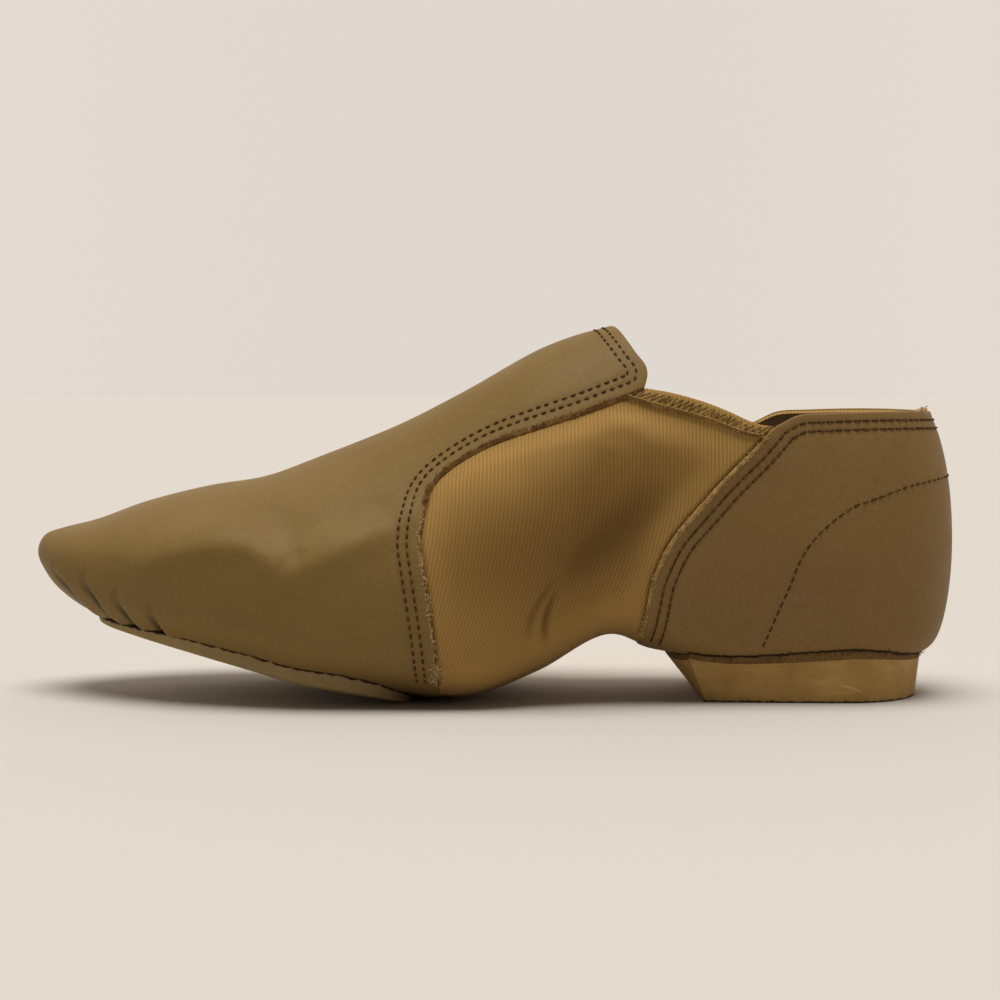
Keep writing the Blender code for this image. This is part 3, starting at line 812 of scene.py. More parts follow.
def noise(tree, place, scale, detail=3.0, rough=0.5, stretch=None):
    """Cloudy noise through space, its grain in grains for each metre."""
    if stretch:
        mapping = add(tree, "ShaderNodeMapping", {"Scale": stretch})
        tree.links.new(place, mapping.inputs["Vector"])
        place = mapping.outputs[0]
    node = add(tree, "ShaderNodeTexNoise", {"Scale": scale, "Detail": detail, "Roughness": rough})
    tree.links.new(place, node.inputs["Vector"])
    return node.outputs["Fac"]


def ranged(tree, value, low, high, to_low=0.0, to_high=1.0):
    """A value mapped from one range to another."""
    limits = {"From Min": low, "From Max": high, "To Min": to_low, "To Max": to_high}
    node = add(tree, "ShaderNodeMapRange", limits)
    tree.links.new(value, node.inputs["Value"])
    return node.outputs[0]


def bumped(tree, shader, height, strength, distance, below=None):
    """A bump from a height, over an earlier bump if one is given."""
    node = add(tree, "ShaderNodeBump", {"Strength": strength, "Distance": distance})
    tree.links.new(height, node.inputs["Height"])
    if below is not None:
        tree.links.new(below.outputs[0], node.inputs["Normal"])
    tree.links.new(node.outputs[0], shader.inputs["Normal"])
    return node


def blank(name, roughness=None, **settings):
    """A new material with its tree, its shader and the place in space for its textures."""
    finish = bpy.data.materials.new(name)
    finish.use_nodes = True
    tree = finish.node_tree
    shader = tree.nodes["Principled BSDF"]
    if roughness is not None:
        shader.inputs["Roughness"].default_value = roughness
    for socket, value in settings.items():
        shader.inputs[socket.replace("_", " ")].default_value = value
    place = add(tree, "ShaderNodeTexCoord").outputs["Object"]
    return finish, tree, shader, place


def cloudy(tree, place, scale, detail, span, to=(0.0, 1.0), rough=0.5, stretch=None):
    """Cloudy noise, with a middle span of its values stretched to a new range."""
    return ranged(tree, noise(tree, place, scale, detail, rough, stretch), *span, *to)


def axes(tree, place):
    """The three coordinates of a place in space."""
    parts = add(tree, "ShaderNodeSeparateXYZ")
    tree.links.new(place, parts.inputs[0])
    return parts.outputs


def attribute(tree, name):
    """A value that the mesh carries at its corners."""
    return add(tree, "ShaderNodeAttribute", attribute_name=name).outputs["Fac"]


def waves(tree, value, pitch):
    """Even waves along a value, one for each pitch."""
    return calc(tree, "SINE", calc(tree, "MULTIPLY", value, 2 * math.pi / pitch))


def leather(name, colour, deep, low, high):
    """Smooth dyed leather: cloudy colour, fine pores, satin gloss, and shade painted in its creases, grooves
    and seam.
    """
    finish, tree, shader, place = blank(name, Coat_Weight=0.02, Coat_Roughness=0.4, Specular_IOR_Level=0.10)
    toned = blended(tree, cloudy(tree, place, 38, 4, (0.34, 0.66)), deep, colour)
    flecks = cloudy(tree, place, 900, 2, (0.3, 0.7), (0.93, 1.05))
    grained = blended(tree, 1.0, toned, flecks, "MULTIPLY")
    pale = blended(tree, attribute(tree, "worn"), grained, WORN_LEATHER)
    # painted shade: the mesh's dark value darkens the leather where creases, grooves and the seam would be
    # shaded
    shaded = blended(tree, attribute(tree, "dark"), pale, PAINTED_SHADE_LEATHER)
    tree.links.new(shaded, shader.inputs["Base Color"])
    tree.links.new(cloudy(tree, place, 120, 3, (0.3, 0.7), (low, high)), shader.inputs["Roughness"])
    pores = add(tree, "ShaderNodeTexVoronoi", {"Scale": 1500.0, "Randomness": 1.0}, feature="F1")
    tree.links.new(place, pores.inputs["Vector"])
    first = bumped(tree, shader, pores.outputs["Distance"], 0.10, 0.0003)
    bumped(tree, shader, noise(tree, place, 420, 4, 0.6), 0.12, 0.0006, first)
    return finish


def rib_knit(name):
    """Stretch fabric: fine upright ribs that lean into a diagonal twill lower down, with shade painted from
    the mesh's dark value.
    """
    settings = {"Sheen_Weight": 0.04, "Sheen_Roughness": 0.5, "Specular_IOR_Level": 0.1}
    finish, tree, shader, place = blank(name, 0.85, **settings)
    x, _, z = axes(tree, place)
    drop = calc(tree, "MAXIMUM", calc(tree, "SUBTRACT", TWILL_FROM, z), 0.0)
    behind = ranged(tree, x, -0.020, 0.045, 4.0, 8.0)
    lean = calc(tree, "MULTIPLY", calc(tree, "MULTIPLY", drop, drop), behind)
    wander = cloudy(tree, place, 60, 2, (0.0, 1.0), (-0.0006, 0.0006))
    phase = calc(tree, "ADD", calc(tree, "ADD", x, lean), wander)
    cross = waves(tree, calc(tree, "ADD", z, phase), TWILL_PITCH)
    weave = calc(tree, "ADD", waves(tree, phase, RIB_PITCH), calc(tree, "MULTIPLY", cross, 0.35))
    shares = ranged(tree, weave, -1.3, 1.3)
    base = blended(tree, cloudy(tree, place, 55, 4, (0.3, 0.7)), (0.440, 0.262, 0.080), (0.495, 0.300, 0.096))
    threads = blended(tree, shares, (0.330, 0.184, 0.049), base)
    # painted shade of the gore's folds, of its hem groove and beside the leathers' edges
    shaded = blended(tree, attribute(tree, "dark"), threads, (0.080, 0.037, 0.006))
    tree.links.new(shaded, shader.inputs["Base Color"])
    first = bumped(tree, shader, shares, 0.32, 0.00022)
    bumped(tree, shader, noise(tree, place, 2600, 2), 0.15, 0.0002, first)
    return finish


def cut_edge(name, colour, dark):
    """A raw cut edge, fibrous along its length."""
    finish, tree, shader, place = blank(name, 0.85, Specular_IOR_Level=0.2)
    fibrous = cloudy(tree, place, 1400, 4, (0.3, 0.7), rough=0.7)
    tree.links.new(blended(tree, fibrous, dark, colour), shader.inputs["Base Color"])
    bumped(tree, shader, fibrous, 0.5, 0.0002)
    return finish


def woven_lining(name, colour, dark):
    """Thin plain-woven cloth: two crossed sets of fine threads."""
    finish, tree, shader, place = blank(name, 0.9, Sheen_Weight=0.1, Specular_IOR_Level=0.2)
    x, y, z = axes(tree, place)
    warp = waves(tree, x, WEAVE_PITCH)
    weft = waves(tree, calc(tree, "ADD", y, z), WEAVE_PITCH)
    weave = ranged(tree, calc(tree, "MULTIPLY", warp, weft), -1.0, 1.0)
    clouds = cloudy(tree, place, 45, 3, (0.35, 0.65), (0.9, 1.05))
    toned = blended(tree, 1.0, blended(tree, weave, dark, colour), clouds, "MULTIPLY")
    tree.links.new(toned, shader.inputs["Base Color"])
    bumped(tree, shader, weave, 0.3, 0.0002)
    return finish


def heel_board(name):
    """Pressed board: fine level layers, rough grain, a pale scratch and a dark jagged foot."""
    finish, tree, shader, place = blank(name, 0.72, Specular_IOR_Level=0.3)
    layers = cloudy(tree, place, 300, 4, (0.3, 0.7), rough=0.6, stretch=(0.25, 0.25, 3.0))
    grain = cloudy(tree, place, 1300, 3, (0.3, 0.7), rough=0.7)
    patches = cloudy(tree, place, 90, 4, (0.35, 0.65))
    base = blended(tree, patches, (0.400, 0.225, 0.056), (0.570, 0.345, 0.108))
    layered = blended(tree, calc(tree, "MULTIPLY", layers, 0.35), base, (0.280, 0.155, 0.040))
    flecked = blended(tree, calc(tree, "MULTIPLY", grain, 0.25), layered, (0.620, 0.410, 0.160))
    x, _, z = axes(tree, place)
    slanted = calc(tree, "ADD", z, calc(tree, "MULTIPLY", x, SCRATCH_SLANT))
    aside = calc(tree, "ABSOLUTE", calc(tree, "SUBTRACT", slanted, SCRATCH_HEIGHT))
    reach = calc(tree, "ABSOLUTE", calc(tree, "SUBTRACT", x, SCRATCH_MIDDLE))
    along = ranged(tree, reach, 0.0020, 0.0034, 1.0, 0.0)
    scratch = calc(tree, "MULTIPLY", ranged(tree, aside, 0.00010, 0.00035, 0.55, 0.0), along)
    scratched = blended(tree, scratch, flecked, (0.720, 0.530, 0.270))
    height = calc(tree, "ADD", z, cloudy(tree, place, 700, 3, (0.2, 0.8), (-0.0004, 0.0004)))
    footed = blended(tree, ranged(tree, height, 0.0003, 0.0007, 1.0, 0.0), scratched, (0.030, 0.018, 0.008))
    tree.links.new(footed, shader.inputs["Base Color"])
    first = bumped(tree, shader, layers, 0.35, 0.0003)
    bumped(tree, shader, grain, 0.4, 0.0003, first)
    return finish


def thread_finish(name, colour, other):
    """Twisted thread, its colour changing a little from stitch to stitch."""
    finish, tree, shader, place = blank(name, 0.75, Specular_IOR_Level=0.05)
    change = cloudy(tree, place, 420, 2, (0.42, 0.72))
    tree.links.new(blended(tree, change, colour, other), shader.inputs["Base Color"])
    bumped(tree, shader, noise(tree, place, 5000, 1), 0.3, 0.0001)
    return finish


def leather_sheets(panel, surface, opening, stitch_rows):
    """Both sides of a leather panel, with its relief, rounded edges, painted shade and worn rim."""
    relief, edges = surface
    sheets = []
    for side in SIDES:
        base, outward = placed(panel, side)
        height, dark = relief(base, side)
        distance = edge_distance(base, edges, side)
        height = height * np.clip(distance / RELIEF_FADE, 0, 1)
        groove = sum(bell(distance - row, ROW_GROOVE) for row in stitch_rows)
        raised = height - rounded(distance) - ROW_DEPTH * groove
        sheet = {"side": side, "base": base, "keep": open_under(panel, *opening)}
        sheet["outer"] = base + outward * raised[..., None]
        sheet["inner"] = base + outward * (np.minimum(height, 0) - LEATHER)[..., None]
        # painted shade of the relief's creases and of the stitch rows' grooves, capped at DARKEST
        dark = np.clip(dark + ROW_SHADE * groove, 0, DARKEST)
        sheet["values"] = {"dark": dark, "worn": WORN_SHARE * bell(distance, WORN_WIDTH)}
        sheets.append(sheet)
    return sheets


def make_vamp(finish, inside, edge):
    """The front leather, with its tab."""
    up = np.interp(crowded(SIDE_ROWS, SIDE_GIRTH), (0, 0.5, 1), (0, LOW_ROWS_REACH, 1))
    sheets = leather_sheets(vamp_panel(VAMP_RIBS, up), VAMP_SURFACE, BALL_OPENING, VAMP_ROWS)
    piece = sheet_piece("vamp_leather", sheets, (finish, inside, edge))
    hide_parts("vamp")


def make_counter(finish, inside, edge):
    """The heel's leather."""
    panel = counter_panel(crowded(COUNTER_RIBS, SIDE_GIRTH), crowded(SIDE_ROWS, SIDE_GIRTH))
    sheets = leather_sheets(panel, COUNTER_SURFACE, HEEL_OPENING, COLLAR_ROWS)
    piece = sheet_piece("counter_leather", sheets, (finish, inside, edge))
    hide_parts("counter")


def gore_height(base, side, share):
    """Relief of the gore, its height over the form with its hem, and its painted shade."""
    away = edge_distance(base, (VAMP_EDGE, COUNTER_EDGE), side)
    clear = np.clip(away / GORE_SINK, 0, 1)
    top = (1 - share) * SIDE_GIRTH
    in_hem = np.clip((HEM_WIDTH - top) / HEM_STEP + 0.5, 0, 1)
    fade = eased(away / GORE_SIDE_FADE) * eased((top - HEM_WIDTH) / GORE_TOP_FADE)
    relief, fold_shade = fold_relief(base, side)
    groove = bell(top - HEM_LINE, HEM_GROOVE)
    hem = HEM_RISE * in_hem - rounded(top, HEM_ROUNDING) - HEM_GROOVE_DEPTH * groove
    swollen = clear * (GORE_SWELL + hem)
    # painted shade: in the hem's groove, beside the leathers' edges and along the folds
    dark = np.maximum(HEM_GROOVE_SHADE * groove + GORE_EDGE_SHADE * (1 - clear), fold_shade * fade)
    return relief * fade, swollen, dark


def make_upper(fabric, lining, hem):
    """The hollow stretch upper: its gore shows outside, its lining inside."""
    up = crowded(SIDE_ROWS, SIDE_GIRTH)
    panels = (
        ("vamp", vamp_panel(LINING_RIBS, up), BALL_OPENING),
        ("gore", gore_panel(crowded(GORE_RIBS, SIDE_GIRTH), up), NO_OPENING),
        ("counter", counter_panel(np.linspace(0, 1, LINING_RIBS + 1), up), HEEL_OPENING),
    )
    share = np.concatenate([np.zeros(KEEL_ROWS + MARGIN_ROWS), up])[None, :]
    sheets = []
    for name, panel, opening in panels:
        for side in SIDES:
            base, outward = placed(panel, side)
            relief, swollen, dark = np.zeros((3, *base.shape[:2]))
            if name == "gore":
                relief, swollen, dark = gore_height(base, side, share + 0 * relief)
            elif name == "vamp":
                relief = SINK_SHARE * np.minimum(faded_height(base, side, VAMP_SURFACE), 0)
            sheet = {"side": side, "base": base, "keep": open_under(panel, *opening)}
            sheet["values"] = {"dark": dark}
            sheet["outer"] = base - outward * (UNDER_LEATHER - relief - swollen)[..., None]
            sheet["inner"] = base - outward * (INSIDE - relief)[..., None]
            sheets.append(sheet)
    piece = sheet_piece("stretch_upper", sheets, (fabric, lining, hem))
    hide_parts("upper")


def make_insole(top_cloth, edge):
    """The insole, cupped a little where it meets the side walls."""
    up = np.linspace(0, 1, INSOLE_ROWS + 1)
    panels = (
        vamp_panel(LINING_RIBS, up)[INSOLE_FIRST_RIB:],
        gore_panel(np.linspace(0, 1, 33), up),
        counter_panel(np.linspace(0, 1, 41), up),
    )
    sheets = []
    for panel in panels:
        for side in SIDES:
            base, outward = placed(panel[:, :INSOLE_TOP_ROW], side)
            low = base - outward * (INSIDE + GAP)
            high = base - outward * (INSIDE + GAP + INSOLE_THICKNESS)
            sheets.append({"side": side, "base": base, "outer": low, "inner": high})
    piece = sheet_piece("insole_pad", sheets, (edge, top_cloth, edge))
    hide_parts("insole")


def underside(x, y):
    """Height of the form's bottom at a place in plan, found in steps that settle on it."""
    stations = np.linspace(0, PIVOT, PLAN_SAMPLES)
    station = np.interp(x, form(stations)["x"], stations)
    behind = np.maximum(x - HEEL_CENTRE, 0)
    aside = np.abs(y - form(station)["y"])
    quarter = np.arctan2(behind, np.maximum(aside, TINY)) / (math.pi / 2)
    size = form(np.where(behind > 0, PIVOT + quarter, station))
    out = np.hypot(behind, aside)
    depth = np.full(np.shape(out), 0.8)
    for _ in range(SETTLING_STEPS):
        width = size["half"] * (1 - size["taper"] * depth**2)
        share = np.clip(out / width, 0, 0.999)
        depth = 0.5 * depth + 0.5 * (1 - share ** size["square"]) ** (1 / size["square"])
    return size["belly"] - size["low"] * depth


def slab_piece(name, x, y, top, low, finishes):
    """A solid between a plan at a top height and a grid of points under it."""
    upper = np.stack([x, y, top], -1)
    return sheet_piece(name, [{"side": NEAR, "base": upper, "outer": upper, "inner": low}], finishes)


def sole_plan(place, side):
    """Plan of the sole patch at shares from -1 to 1 along and across it."""
    front = -LENGTH / 2 + SOLE_FRONT * LENGTH
    rear = -LENGTH / 2 + SOLE_REAR * LENGTH
    x = (front + rear) / 2 + place * (rear - front) / 2
    power = np.where(place < 0, SOLE_FRONT_POWER, SOLE_REAR_POWER)
    half = SOLE_HALF * (1 + SOLE_FLARE * place) * (1 - np.abs(place) ** power) ** (1 / power)
    size = form(np.linspace(0, PIVOT, PLAN_SAMPLES))
    return x, np.interp(x, size["x"], size["y"]) + half * side


def make_sole(finish, edge):
    """The front half of the split sole, soft at its rim."""
    place = -np.cos(np.linspace(0, math.pi, SOLE_RIBS + 1))[:, None]
    side = np.sin(np.linspace(-math.pi / 2, math.pi / 2, SOLE_WAYS + 1))[None, :]
    x, y = sole_plan(place + 0 * side, side + 0 * place)
    under = underside(x, y) - GAP / 3
    middle = under[:, [under.shape[1] // 2]]
    rim = np.minimum(1 - np.abs(side) + 0 * place, 1 - np.abs(place) + 0 * side)
    curve = 1 - np.sqrt(1 - (1 - np.clip(rim / SOLE_SOFT_REACH, 0, 1)) ** 2)
    thick = SOLE_THICKNESS * (1 - SOLE_SOFT_SHARE * curve) + SOLE_RIM_DROP * (under - middle)
    low = np.stack([x, y, np.maximum(under - thick - GAP / 2, 0.0)], -1)
    piece = slab_piece("sole_patch", x, y, under, low, (edge, finish, edge))
    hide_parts("outsole_forefoot")


def heel_plan(front, bulge, flare, ribs=64, ways=65):
    """A heel-shaped plan, its front bulged forward and its back a half round."""
    share = np.linspace(0, 1, ribs + 1)
    side = np.sin(np.linspace(-math.pi / 2, math.pi / 2, ways))
    half = HEEL_WIDTH / 2 * HEEL_HALF_SHARE + flare
    back = HEEL_CENTRE + (HEEL_WIDTH / 2 * HEEL_BACK_SHARE + flare) * np.sqrt(1 - side**2)
    lead = front - bulge * (1 - side**2)
    narrow = 1 - (1 - HEEL_FRONT_NARROWING) * (1 - share) ** 2
    return lead[None] + share[:, None] * (back - lead)[None], narrow[:, None] * half * side[None]


def make_heel(board, seat_finish):
    """The heel block, and the thin seat between it and the counter."""
    x, y = heel_plan(HEEL_LEAD, HEEL_BREAST_BULGE, 0.0)
    over_x, over_y = heel_plan(HEEL_LEAD, HEEL_BREAST_BULGE, SEAT_OVERHANG)
    under = underside(x, y)
    sag = SEAT_SAG * (1 - (2 * (x - x.min()) / np.ptp(x) - 1) ** 2)
    seat_low = np.stack([over_x, over_y, under - sag - GAP - SEAT_THICKNESS], -1)
    seat = slab_piece("heel_seat_layer", over_x, over_y, under - GAP / 3, seat_low, [seat_finish] * 3)
    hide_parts("heel_seat")
    floor_x, floor_y = heel_plan(HEEL_LEAD + HEEL_BREAST_SLANT, HEEL_FLOOR_BULGE, -HEEL_FLARE)
    floor = np.stack([floor_x, floor_y, 0 * floor_x], -1)
    block = slab_piece("heel_board_block", x, y, under - sag - SEAT_THICKNESS - 1.5 * GAP, floor, [board] * 3)
    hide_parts("heel_block")


def ringed(name, rings, finish):
    """A piece of many small closed forms; rings is forms by rings by corners by three."""
    number = np.arange(rings[..., 0].size).reshape(rings.shape[:3])
    turned = np.roll(number, -1, axis=2)
    walls = np.stack([number[:, :-1], turned[:, :-1], turned[:, 1:], number[:, 1:]], axis=-1).reshape(-1, 4)
    caps = np.concatenate([number[:, 0, ::-1], number[:, -1]])
    data = bpy.data.meshes.new(name)
    data.from_pydata(rings.reshape(-1, 3).tolist(), [], walls.tolist() + caps.tolist())
    finished(name, data, (finish,))


def spokes(first, second, sides):
    """Directions round a ring, from one axis towards another."""
    angle = np.arange(sides) * 2 * math.pi / sides
    return first[..., None, :] * np.cos(angle)[:, None] + second[..., None, :] * np.sin(angle)[:, None]


def tubes(name, centres, outward, radius, finish, sides=6):
    """Many short round threads joined in one piece; centres is threads by points by three."""
    along = unit(np.gradient(centres, axis=1))
    across = unit(np.cross(along, outward))
    taper = np.sin(np.linspace(0.12, 0.88, centres.shape[1]) * math.pi) ** 0.5
    spoke = spokes(across, np.cross(across, along), sides)
    ringed(name, centres[:, :, None] + spoke * (radius * taper)[:, None, None], finish)


def beside(edges, distance, side, surface):
    """A line on the surface at a distance from joined panel edges, with its normals."""
    rows = []
    for edge, inward in edges:
        fine = sample(edge, np.linspace(0, 1, 260))
        station, turn = fine[:, 0], side * fine[:, 1]
        for _ in range(BESIDE_STEPS):
            point = skin(station, turn)
            toward = np.cross(facing(station, turn), np.gradient(point, axis=0))
            wanted = unit(toward) * side * inward * distance / BESIDE_STEPS
            by_station = (skin(station + BESIDE_REACH, turn) - point) / BESIDE_REACH
            by_turn = (skin(station, turn + BESIDE_REACH) - point) / BESIDE_REACH
            aa, bb, ab, wa, wb = (
                np.sum(one * other, 1)
                for one, other in (
                    (by_station, by_station),
                    (by_turn, by_turn),
                    (by_station, by_turn),
                    (by_station, wanted),
                    (by_turn, wanted),
                )
            )
            station = station + (wa * bb - wb * ab) / (aa * bb - ab**2)
            turn = turn + (wb * aa - wa * ab) / (aa * bb - ab**2)
        rows.append(np.stack([station, side * turn], -1))
    line = np.concatenate(rows)
    points = skin(line[:, 0], side * line[:, 1])
    clear = edge_distance(points, [edge for edge, _ in edges], side) > distance * KEPT_SHARE
    return settled(line[clear], side, surface)


def settled(line, side, surface):
    """Points of a line on the finished surface, and their normals."""
    base, outward = placed(line, side)
    return base + outward * faded_height(base, side, surface)[:, None], outward


def along_line(points, outward, places):
    """Points and normals at distances along a line."""
    run = run_along(points)
    spot = np.stack([np.interp(places, run, points[:, axis]) for axis in range(3)], -1)
    normal = np.stack([np.interp(places, run, outward[:, axis]) for axis in range(3)], -1)
    return spot, unit(normal)


def line_length(points):
    """Length of a line."""
    return run_along(points)[-1]


def gathered(rows):
    """The points and the normals of some lines, each joined in one array."""
    return [np.concatenate(part) for part in zip(*rows)]


def stitches(name, lines, thread, hole, pitch=PITCH, radius=THREAD, fill=FILL, lift=LIFT):
    """Rows of stitches along lines, each dipping at both its ends into a needle hole, where a dark dot is
    painted for the hole's shade.
    """
    shares = np.linspace(-0.5, 0.5, 7)
    arch = lift - (lift + STITCH_DIP) * (2 * np.abs(shares)) ** 4
    threads = []
    holes = []
    chance = np.random.default_rng(21)
    for points, outward in lines:
        count = max(int(line_length(points) / pitch), 1)
        middles = (np.arange(count) + 0.5) * pitch + chance.normal(0, 0.04 * pitch, count)
        spot, normal = along_line(points, outward, middles[:, None] + shares[None] * pitch * fill)
        threads.append((spot + normal * arch[None, :, None], normal))
        holes.append(along_line(points, outward, (np.arange(count) + (1 - fill) / 2) * pitch))
    tubes(name, *gathered(threads), radius, thread)
    # dark dots of painted shade at the needle holes
    if hole is not None:
        dots(name + "_hole_shades", *gathered(holes), HOLE, hole)


def dots(name, spots, outward, radius, finish, sides=8):
    """Small low domes on the surface, such as the shade painted in the mouths of needle holes."""
    helper = np.where(np.abs(outward[:, :1]) < 0.8, np.array([[1.0, 0, 0]]), np.array([[0, 1.0, 0]]))
    across = unit(np.cross(outward, helper))
    spoke = spokes(across, np.cross(outward, across), sides) * radius
    rings = [spots[:, None] + spoke * share + outward[:, None] * height for share, height in HOLE_RINGS]
    ringed(name, np.stack(rings, axis=1), finish)


def make_leather_stitches(thread, hole):
    """The double rows beside the gore, the tab and the collar, and the stiffener's single row."""
    vamp_lines = []
    counter_lines = []
    stiffener = []
    for side in SIDES:
        for distance in VAMP_ROWS:
            vamp_lines.append(beside([(VAMP_EDGE, -1), (TAB_EDGE[::-1], -1)], distance, side, VAMP_SURFACE))
        for front, collar in zip(COUNTER_FRONT_ROWS, COLLAR_ROWS):
            first = beside([(COUNTER_EDGE, 1)], front, side, COUNTER_SURFACE)
            second = beside([(COUNTER_COLLAR, 1)], collar, side, COUNTER_SURFACE)
            counter_lines.append(joined(first, second, front, collar, side))
        stiffener.append(settled(sample(STIFFENER_ROW, np.linspace(0, 1, 120)), side, COUNTER_SURFACE))
    stitches("vamp_stitches", vamp_lines, thread, hole, radius=FINE_THREAD, fill=VAMP_FILL)
    counter = {"radius": COUNTER_THREAD, "fill": COUNTER_FILL, "lift": COUNTER_LIFT}
    stitches("counter_stitches", counter_lines, thread, hole, **counter)
    stitches("stiffener_stitches", stiffener, thread, hole, radius=FINE_THREAD)


def joined(first, second, front, collar, side):
    """Two lines cut where each comes too close to the other's edge, and joined."""
    rows = []
    for line, edge, distance in ((first, COUNTER_COLLAR, collar), (second, COUNTER_EDGE, front)):
        kept = edge_distance(line[0], (edge,), side) > distance * KEPT_SHARE
        rows.append((line[0][kept], line[1][kept]))
    return gathered(rows)


def hem_line(side, drop):
    """A line on the gore's hem at a drop below the collar's edge."""
    up = np.array([0.0, 0.5, 1 - drop / SIDE_GIRTH, 1.0])
    panel = gore_panel(np.linspace(0.005, 0.995, 160), up)[:, KEEL_ROWS + MARGIN_ROWS + 2]
    base, outward = placed(panel, side)
    return base + outward * (GORE_SWELL + HEM_RISE - UNDER_LEATHER), outward


def make_hem_stitches(dark, pale):
    """The collar hem's straight lines and its crossed zigzag of dark and pale threads."""
    rows = (
        ("hem_line_stitches", HEM_LINE, dark, 0.00026, FULL),
        ("hem_inner_stitches", HEM_LINE - HEM_LINE_GAP, pale, 0.00017, 0.9),
    )
    for name, drop, finish, radius, fill in rows:
        lines = [hem_line(side, drop) for side in SIDES]
        stitches(name, lines, finish, None, HEM_PITCH, radius, fill, LOOSE_LIFT)
    chance = np.random.default_rng(22)
    for name, finish, start, radius in (
        ("hem_zigzag_dark", dark, 0.0, 0.00016),
        ("hem_zigzag_pale", pale, 0.5, 0.00014),
    ):
        threads = []
        for side in SIDES:
            high, low = (hem_line(side, drop) for drop in ZIGZAG)
            count = int(line_length(high[0]) / ZIGZAG_PITCH) - 1
            step = (np.arange(count) + start + chance.normal(0, 0.13, count)) / (count + 1)
            ends = []
            for line, shift in ((high, 0.0), (low, 0.5), (high, 1.0)):
                ends.append(along_line(*line, (step + shift / (count + 1)) * line_length(line[0])))
            part = np.linspace(0, 1, 5)[None, :, None]
            for begin, end in zip(ends, ends[1:]):
                run = begin[0][:, None] * (1 - part) + end[0][:, None] * part
                normal = np.repeat(begin[1][:, None], 5, axis=1)
                threads.append((run + normal * ZIGZAG_ARCH * np.sin(part * math.pi), normal))
        tubes(name, *gathered(threads), radius, finish)


def fibres(name, lines, count, reach, radius, finish, seed, spread):
    """Loose curled fibres along lines."""
    chance = np.random.default_rng(seed)
    threads = []
    part = np.linspace(0, 1, 6)[None, :, None]
    for points, outward in lines:
        spot, normal = along_line(points, outward, chance.uniform(0, line_length(points), count))
        spot = spot + chance.normal(0, spread, spot.shape) + normal * 0.0002
        heading = chance.normal(size=spot.shape)
        heading = unit(heading - normal * np.sum(heading * normal, -1, keepdims=True) * 0.7)
        curl = np.cross(heading, normal)
        length = chance.uniform(0.4, 1.0, count)[:, None, None] * reach
        bend = chance.normal(0, 0.35, count)[:, None, None] * reach
        run = spot[:, None] + heading[:, None] * part * length + curl[:, None] * bend * part**2
        run = run + normal[:, None] * np.sin(part * math.pi) * 0.15 * reach
        threads.append((run, np.repeat(normal[:, None], 6, axis=1)))
    tubes(name, *gathered(threads), radius, finish, 4)


def edge_line(edge, side, height, first, last):
    """A line along part of a panel edge at a height over the form."""
    base, outward = placed(sample(edge, np.linspace(first, last, 160)), side)
    return base + outward * height, outward


def make_fibres(pale, brown, gold):
    """Frayed lining low on the vamp's edge, brown fuzz above it, and gold fuzz on the counter's."""
    rows = (
        # name, edge, height, first and last share, count, reach, radius, finish, seed, spread
        ("vamp_edge_fray", VAMP_EDGE, -0.0005, 0.02, 0.42, 330, 0.0009, 0.00007, pale, 31, 0.00018),
        ("vamp_edge_tuft", VAMP_EDGE, -0.0003, 0.01, 0.06, 46, 0.0024, 0.00008, pale, 32, 0.0004),
        ("vamp_edge_fuzz", VAMP_EDGE, -0.0004, 0.42, 0.99, 900, 0.0008, 0.00010, brown, 33, 0.0003),
        ("counter_edge_fuzz", COUNTER_EDGE, -0.0001, 0.02, 0.98, 1000, 0.0007, 0.00009, gold, 34, 0.0003),
    )
    for name, edge, height, first, last, *fibre in rows:
        fibres(name, [edge_line(edge, side, height, first, last) for side in SIDES], *fibre)


def sole_rim(side, first, last, height):
    """A line along the seam between vamp and sole patch, which stands off more towards the toe."""
    place = np.linspace(first, last, 140)
    x, y = sole_plan(place, np.full(place.shape, side * SEAM_SIDE))
    z = underside(x, y) + height
    z += ripple(np.stack([x, y, 0 * x], -1), *SEAM_WAVES)
    outward = unit(np.stack([0 * x, side + 0 * x, -SEAM_TILT + 0 * x], -1))
    stand = SEAM_STAND + SEAM_TOE_STAND * np.clip((-place - SEAM_TOE_FROM) / 0.2, 0, 1)
    return np.stack([x, y, z], -1) + outward * stand[:, None], outward


def make_sole_stitches(thread, hole):
    """The seam round the sole patch."""
    lines = [sole_rim(side, *SEAM_ENDS, SEAM_HEIGHT) for side in SIDES]
    stitches("sole_seam_stitches", lines, thread, hole, SEAM_PITCH, SEAM_THREAD, FULL, LOOSE_LIFT)


def make_glue_line(glue):
    """The uneven dark line between the counter and the heel's seat: glue, with the shade of the gap there
    painted into it.
    """
    plan_x, plan_y = heel_plan(HEEL_LEAD, HEEL_BREAST_BULGE, GLUE_OVERHANG, 120, 121)
    x = np.concatenate([plan_x[:, 0], plan_x[-1, 1:-1], plan_x[::-1, -1]])
    y = np.concatenate([plan_y[:, 0], plan_y[-1, 1:-1], plan_y[::-1, -1]])
    line = np.stack([x, y, underside(x, y) - 0.00025], -1)
    for wave in GLUE_WAVES:
        line[:, 2] += ripple(line, *wave)
    outward = unit(np.stack([x - x.mean(), y, 0 * x], -1))
    tubes("heel_glue_and_gap_shade_line", line[None], outward[None], 0.00030, glue, 8)
    fibres("heel_seam_fibres", [(line, outward)], 220, 0.0010, 0.00009, glue, 35, 0.0003)


